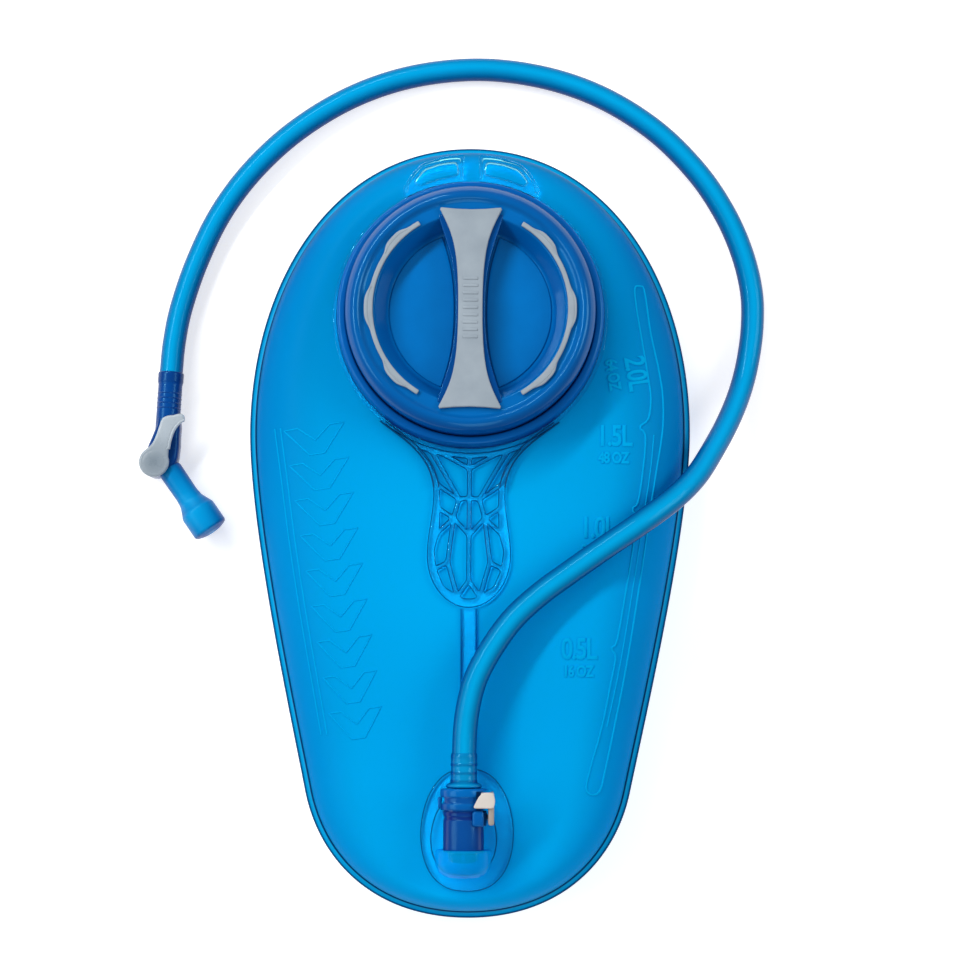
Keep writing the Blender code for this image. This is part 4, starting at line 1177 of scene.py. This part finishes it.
def oval(half_width, half_length, lean, centre_y=OUTLET_Y):
    """An egg-shaped outline about the outlet, wider towards the bottom."""
    points, count, squareness = [], 120, 0.8
    for i in range(count):
        turn = 2 * math.pi * i / count
        wide = half_width * (1 - lean * math.sin(turn))
        points.append((wide * math.copysign(abs(math.cos(turn)) ** squareness, math.cos(turn)),
                       centre_y + half_length * math.sin(turn)))
    return points


def link(y, x=0.0, z=0.0):
    """A point given in millimetres from the quick link's axis."""
    return Vector((LINK_AXIS.x + x * MM, y * MM, LINK_AXIS.z + z * MM))


def link_block(name, size, place, bevel):
    """A block about a place that link() understands, all in millimetres."""
    return block_mesh(name, [v * MM for v in size], link(*place), bevel * MM)


def make_outlet():
    """The outlet's egg-shaped plate, and the clear cup over the quick link's nose."""
    low = OUTLET_LOW[2]
    # The plate's sides, and the lines round and inside it, are darkened with painted shade.
    plate = slab("outlet_plate", [oval(19.2 * MM, 25.2 * MM, 0.06)], low, low + 1.5 * MM, 0.35 * MM,
                 side_tint=1.0)
    inner = oval(13.7 * MM, 16.8 * MM, 0.10, OUTLET_Y - 2.0 * MM)
    edge = oval(19.3 * MM, 25.3 * MM, 0.06)
    loops = (("inner_line", [(x + LINK_AXIS.x, y, low + 1.5 * MM) for x, y in inner], 0.24 * MM),
             ("edge_line", [(x, y, low + 0.8 * MM) for x, y in edge], 0.28 * MM))
    lines = [wire_mesh(name, loop, radius, True, 6) for name, loop, radius in loops]
    finish_parts("outlet_lines", lines, M_LINE, RESERVOIR, (), "film", 60, tint=0.8)
    profile = [
        (10.2, -137.0, 0), (11.6, -137.0, 0), (11.6, -143.4, 0), (10.1, -146.6, 0), (7.0, -148.4, 0),
        (0.0, -148.4, 0), (0.0, -147.0, 0), (6.4, -147.0, 0), (9.0, -145.8, 0), (10.2, -143.0, 0)]
    mesh = turned("outlet_cup", profile, 1.0, LINK_AXIS, ALONG_LINK, corner_steps=4)
    cup = finish_mesh("outlet_cup", mesh, M_CUP, RESERVOIR, (), "clear_moulding")
    outlet = finish_parts("outlet_moulding", [plate], M_CLEAR, RESERVOIR, ("outlet_flange",),
                          "clear_moulding")
    for piece in (outlet, cup):
        cut(piece, block_mesh("trim", (80 * MM, 80 * MM, 12 * MM), (0, OUTLET_Y, low - 6 * MM), 0))


def make_socket():
    """The quick link's socket, with the button's guides and its ribbed nose."""
    # The profile's third values are tints of painted shade, and more is added towards the sides and
    # underneath.
    profile = [
        (4.3, -111.8, 0.2), (9.2, -111.8, 0.0), (9.8, -112.4, 0.05), (9.8, -115.0, 0.15),
        (9.4, -115.5, 0.5), (9.4, -117.6, 0.5), (9.8, -118.1, 0.2), (9.8, -120.4, 0.4),
        (8.5, -121.4, 0.9), (8.5, -123.0, 0.75), (8.2, -123.4, 0.9), (8.2, -124.4, 0.9),
        (8.5, -124.8, 0.6), (8.5, -137.4, 0.55), (7.8, -138.3, 0.8), (6.4, -138.3, 0.9),
        (6.4, -126.0, 0.8), (4.3, -126.0, 0.8)]
    mesh = turned("link_socket", profile, 0.35, LINK_AXIS, ALONG_LINK)
    paint_side_shade(mesh, LINK_AXIS, ALONG_LINK, 0.55)
    housing = finish_mesh("link_socket", mesh, M_DARK, RESERVOIR, ("socket_housing",), "dark_plastic")
    for name, size, place in (("notch", (14, 7.6, 6), (-116.7, 12.2, 8.1)),
                              ("leg_way", (8, 9, 12), (-117.1, 12.2, -0.1)),
                              ("latch_slot", (26, 2.6, 11.2), (-116.6, 0.5, -0.6))):
        cut(housing, link_block(name, size, place, 0))
    # The guides are evenly darkened with painted shade.
    blocks = (("guide", (2.6, 6.4, 6.8), (-124.2, 8.3, -2.8), 0.7),
              ("shoulder", (4.8, 6.4, 3.4), (-124.0, 6.0, 7.3), 1.1),
              ("tab", (1.7, 4.6, 4.4), (-117.6, -9.85, 1.4), 0.6))
    meshes = [link_block(*block) for block in blocks]
    guides = finish_parts("link_guides", meshes, M_DARK, RESERVOIR, (), "dark_plastic", tint=0.35)
    inner_end, outer_end = link(SPRING_Y, 6.5, SPRING_Z), link(SPRING_Y, 16, SPRING_Z)
    for piece in (housing, guides):
        cut(piece, rod_mesh("pocket", 1.9 * MM, inner_end, outer_end))
    # The nose's tints, and its ribs', are painted shade too.
    profile = [
        (6.1, -136.0, 0.8), (6.1, -138.6, 0.9), (6.4, -138.8, 0.7), (6.1, -141.2, 0.8),
        (4.8, -142.4, 0.9), (2.6, -142.4, 1.0), (2.6, -136.0, 1.0)]
    meshes = [turned("nose", profile, 0.3, LINK_AXIS, ALONG_LINK, 64)]
    for i in range(6):
        angle = 2 * math.pi * (i + 0.5) / 6
        place = link(-140.0, 6.0 * math.cos(angle), 6.0 * math.sin(angle))
        rib = block_mesh("nose_rib", (1.3 * MM, 3.0 * MM, 1.4 * MM), place, 0.35 * MM, -angle, "Y")
        meshes.append(even_tint(rib, 0.4))
    finish_parts("link_nose", meshes, M_DARK, RESERVOIR, ("socket_nose",), "dark_plastic")


def make_button():
    """The cream button: a wedge of a plate on a block, with a leg folded down its right side."""
    wedge = [(3.8, -119.7), (5.0, -117.2), (6.3, -114.8), (8.0, -113.1), (12.2, -113.2), (13.1, -116.6),
             (12.4, -119.7)]
    outline = [(x + LINK_AXIS.x, y) for x, y in rounded_outline(in_mm(wedge), 1.5 * MM)]
    meshes = [slab("button_top", [outline], LINK_AXIS.z + 9.6 * MM, LINK_AXIS.z + 10.6 * MM, 0.45 * MM)]
    # The block, leg and foot are darkened with painted shade, most on the leg and foot.
    for name, size, place, bevel, tint in (
            ("block", (5.4, 6.2, 4.6), (-116.4, 9.8, 7.4), 0.5, 0.2),
            ("leg", (2.4, 13.5, 8.0), (-119.9, 11.4, 5.2), 0.9, 0.6),
            ("foot", (1.0, 13.5, 10.0), (-119.9, 11.9, 0.6), 0.4, 0.6)):
        meshes.append(even_tint(link_block("button_" + name, size, place, bevel), tint))
    finish_parts("button_piece", meshes, M_BUTTON, BUTTON, ("release_button",), "button")


def make_button_spring():
    """The spring behind the button, as a coil of one length; the real spring shortens as the button goes
    in.
    """
    low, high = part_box("button_spring")
    wire, turns, steps = 0.28 * MM, 5, 90
    start, end = low[0] + wire, high[0] - wire
    points = []
    for i in range(steps + 1):
        angle = 2 * math.pi * turns * i / steps
        points.append(Vector((start + (end - start) * i / steps, SPRING_Y * MM + 1.3 * MM * math.cos(angle),
                              LINK_AXIS.z + SPRING_Z * MM + 1.3 * MM * math.sin(angle))))
    coil = finish_mesh("button_coil", wire_mesh("button_coil", points, wire, False, 8), M_STEEL, RESERVOIR,
                       ("button_spring",), "steel", 60)
    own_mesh(coil)


def make_connector():
    """The hose's half of the quick link, with the three rings that the hose grips."""
    # The third value of each point is a tint of painted shade, deepest in the bore; more is added towards
    # the sides and underneath.
    points = [(3.4, -97.2, 0.3), (5.3, -97.2, 0.3), (5.55, -98.6, 0.3)]
    for i in range(3):
        y = -101.2 - 3.4 * i
        points += [(5.45, y, 0.1), (5.65, y - 0.5, 0.45), (5.65, y - 1.0, 0.45), (5.4, y - 1.6, 0.1)]
    points += [(5.4, -108.8, 0.1), (5.7, -109.3, 0.5), (7.4, -110.2, 0.0), (7.6, -111.0, 0.0),
               (7.0, -111.6, 0.6), (3.9, -111.6, 1.0), (3.9, -115.2, 0.8), (3.3, -115.2, 0.8),
               (3.3, -118.0, 0.8), (3.9, -118.0, 0.8), (3.9, -121.4, 0.8), (2.9, -121.4, 0.8),
               (2.9, -123.4, 0.8), (3.9, -123.4, 0.8), (3.9, -128.2, 0.8), (3.3, -128.9, 0.8),
               (2.2, -128.9, 0.8), (2.2, -99.0, 0.8)]
    mesh = turned("connector", points, 0.3, LINK_AXIS, ALONG_LINK)
    paint_side_shade(mesh, LINK_AXIS, ALONG_LINK, 0.9)
    return finish_mesh("connector", mesh, M_LINK, HOSE_BODY, ("hose_connector",), "connector_plastic")


# ---------------------------------------------------------------- shutoff and bite valve

def about_pivot(points):
    """Points given in millimetres from the lever's pivot."""
    return [(PIVOT.x + x * MM, PIVOT.y + y * MM) for x, y in points]


def make_shutoff():
    """The elbow between the hose and the bite valve: a sleeve, the rotor's chamber and a spout."""
    toward_hose = (HOSE_END - ELBOW).normalized()
    spout = (MOUTH - ELBOW).normalized()
    end = (HOSE_END - ELBOW).length / MM
    # The third values are tints of painted shade, and more is added towards the sleeve's sides and
    # underneath.
    profile = [(4.4, 2.0, 0.2), (5.3, 2.0, 0.2), (5.3, end - 4.5, 0.25), (5.65, end - 3.6, 0.4),
               (5.65, end + 0.3, 0.4), (5.3, end + 0.8, 0.5), (4.4, end + 0.8, 0.9)]
    meshes = [turned("sleeve", profile, 0.5, ELBOW, toward_hose, 64)]
    for i in range(4):
        ring = [(5.1, 31.2 - 2.2 * i, 0.5), (5.5, 30.6 - 2.2 * i, 0.3), (5.1, 30.0 - 2.2 * i, 0.5)]
        meshes.append(lathe_mesh("sleeve_ring", profile_mm(ring), ELBOW, toward_hose, 64))
    for mesh in meshes:
        paint_side_shade(mesh, ELBOW, toward_hose, 0.5)
    # The elbow, chamber, spout and cheeks are darkened with painted shade as well.
    ball = []
    for i in range(21):
        angle = math.pi * i / 20
        ball.append((5.32 * math.sin(angle) if 0 < i < 20 else 0.0, -5.32 * math.cos(angle), 0.6))
    meshes.append(lathe_mesh("elbow", profile_mm(ball), ELBOW, UP, 48, False))
    chamber = [(0, -5.8, 0.6), (5.8, -5.8, 0.6), (6.2, -5.2, 0.6), (6.2, 4.4, 0.6), (5.8, 5.0, 0.6),
               (4.5, 5.0, 0.9), (4.5, -4.6, 0.9), (0, -4.6, 0.9)]
    meshes.append(turned("chamber", chamber, 0.3, PIVOT, UP, 64, False))
    meshes.append(rod_mesh("spout", 3.4 * MM, ELBOW, ELBOW + 13 * MM * spout, 40, 0.6))
    cheeks = [(1.8, 21.5), (0.2, 16.5), (-1.7, 11.5), (-3.5, 6.5), (-3.6, 0), (1.4, -4.5),
              (6.6, -3.6), (9.4, 0.4), (10.3, 5.6), (10.5, 10.5), (9.9, 20.0)]
    outline = about_pivot(smooth_outline(cheeks))
    meshes.append(slab("cheeks", [outline], VALVE_Z - 5.0 * MM, VALVE_Z + 4.9 * MM, 2.4 * MM, tint=0.55,
                       side_tint=0.8))
    return finish_parts("shutoff", meshes, M_SLEEVE, HOSE_BODY, ("shutoff_body",), "dark_plastic")


def make_lever():
    """The lever: a round hub on the pivot, and an arm that flares into a thumb pad."""
    hub = [(6.6 * math.cos(math.radians(a)), 6.6 * math.sin(math.radians(a)))
           for a in range(20, -238, -5)]
    arm = bezier((-3.6, 5.6), (0.2, 8.0), (0.9, 12.4), (2.2, 16.4), 12)
    arm += bezier((2.2, 16.4), (3.0, 20.0), (4.2, 20.6), (8.2, 20.8), 8)
    arm += bezier((8.2, 20.8), (11.0, 21.8), (13.4, 22.0), (13.2, 18.4), 10)
    arm += bezier((13.2, 18.4), (8.4, 16.6), (6.4, 12.0), (6.1, 2.2), 14)
    outline = rounded_outline(about_pivot(hub + arm), 0.5 * MM)
    high = LEVER_HIGH[2]
    low = high - 2.4 * MM
    meshes = [slab("lever", [outline], low, high, 1.1 * MM)]
    stem_top = Vector((PIVOT.x, PIVOT.y, low))
    meshes.append(rod_mesh("stem", 2.6 * MM, PIVOT + 4.5 * MM * UP, stem_top, 40))
    dome = [(0.0, 0.4, 0), (2.6, 0.34, 0), (4.4, 0.14, 0), (5.6, -0.2, 0), (5.7, -1.0, 0), (0.0, -1.0, 0)]
    meshes.append(turned("hub", dome, 0.8, Vector((PIVOT.x, PIVOT.y, high)), UP, 64, False))
    lip = bezier((13.0, 18.6), (8.9, 16.9), (6.9, 12.2), (6.2, 4.5), 20)
    lip = [(x, y, high - 0.5 * MM) for x, y in about_pivot(lip)]
    meshes.append(even_tint(wire_mesh("lip", lip, 0.7 * MM, False, 12), 0.0))
    mesh = joined("lever_piece", meshes)
    # The tint is painted shade, deepest at the pivot's hub and fading out about 13 mm from it.
    layer = mesh.attributes["tint"].data
    for vert, entry in zip(mesh.vertices, layer):
        entry.value = max(0.0, 0.7 - (vert.co.xy - PIVOT.xy).length / (19 * MM))
    return finish_mesh("lever_piece", mesh, M_LEVER, LEVER, ("shutoff_lever",), "lever_plastic")


def make_bite_valve():
    """The silicone mouthpiece, with a slit across its end."""
    along = (MOUTH - ELBOW).normalized()
    end = (MOUTH - ELBOW).length / MM
    # The third values are tints of painted shade, deepest in the bore, with more added towards the sides
    # and underneath.
    profile = [
        (0.0, end + 1.3, 0.7), (4.2, end + 0.9, 0.7), (7.3, end - 0.1, 0.6), (7.9, end - 0.9, 0.3),
        (7.9, 27.0, 0.0), (7.8, 25.6, 0.1), (7.2, 24.5, 0.35), (5.5, 20.6, 0.1), (5.1, 17.0, 0.2),
        (5.3, 4.4, 0.5), (5.0, 3.2, 0.8), (3.7, 3.2, 1.0), (3.7, 14.0, 1.0), (3.4, 21.0, 1.0),
        (5.4, 26.0, 1.0), (5.4, end - 2.2, 1.0), (0.0, end - 1.2, 1.0)]
    mesh = turned("bite", profile, 0.7, ELBOW, along, 96, False, 4)
    paint_side_shade(mesh, ELBOW, along, 0.6)
    valve = finish_mesh("bite_piece", mesh, M_BITE, HOSE_BODY, ("bite_valve",), "silicone")
    turn = math.atan2(along.y, along.x) + math.pi / 2
    cut(valve, block_mesh("slit", (8.0 * MM, 6.0 * MM, 0.4 * MM), MOUTH, 0, turn))
    return valve


def finish_cad_nodes():
    """Gives the inner pieces, which keep their CAD shapes, their materials."""
    kept = ((M_SEAL, ("cap_gasket", "connector_o_ring", "rotor_o_ring_upper", "rotor_o_ring_lower",
                      "poppet")),
            (M_STEEL, ("poppet_spring", "latch_plate")),
            (M_LINK, ("shutoff_rotor",)))
    for mat, names in kept:
        for name in names:
            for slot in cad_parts[name].material_slots:
                slot.material = mat


film = make_films()
surface = Film(film)
make_weld_rim()
make_embossing(surface)
make_graduations(surface)
make_spine()
make_flange()
make_collar()
make_truss()
make_cap()
make_grip()
make_arcs()
make_outlet()
make_socket()
make_button()
make_button_spring()
connector = make_connector()
hose, hose_line = make_hose()
shutoff = make_shutoff()
make_lever()
bite = make_bite_valve()
finish_cad_nodes()
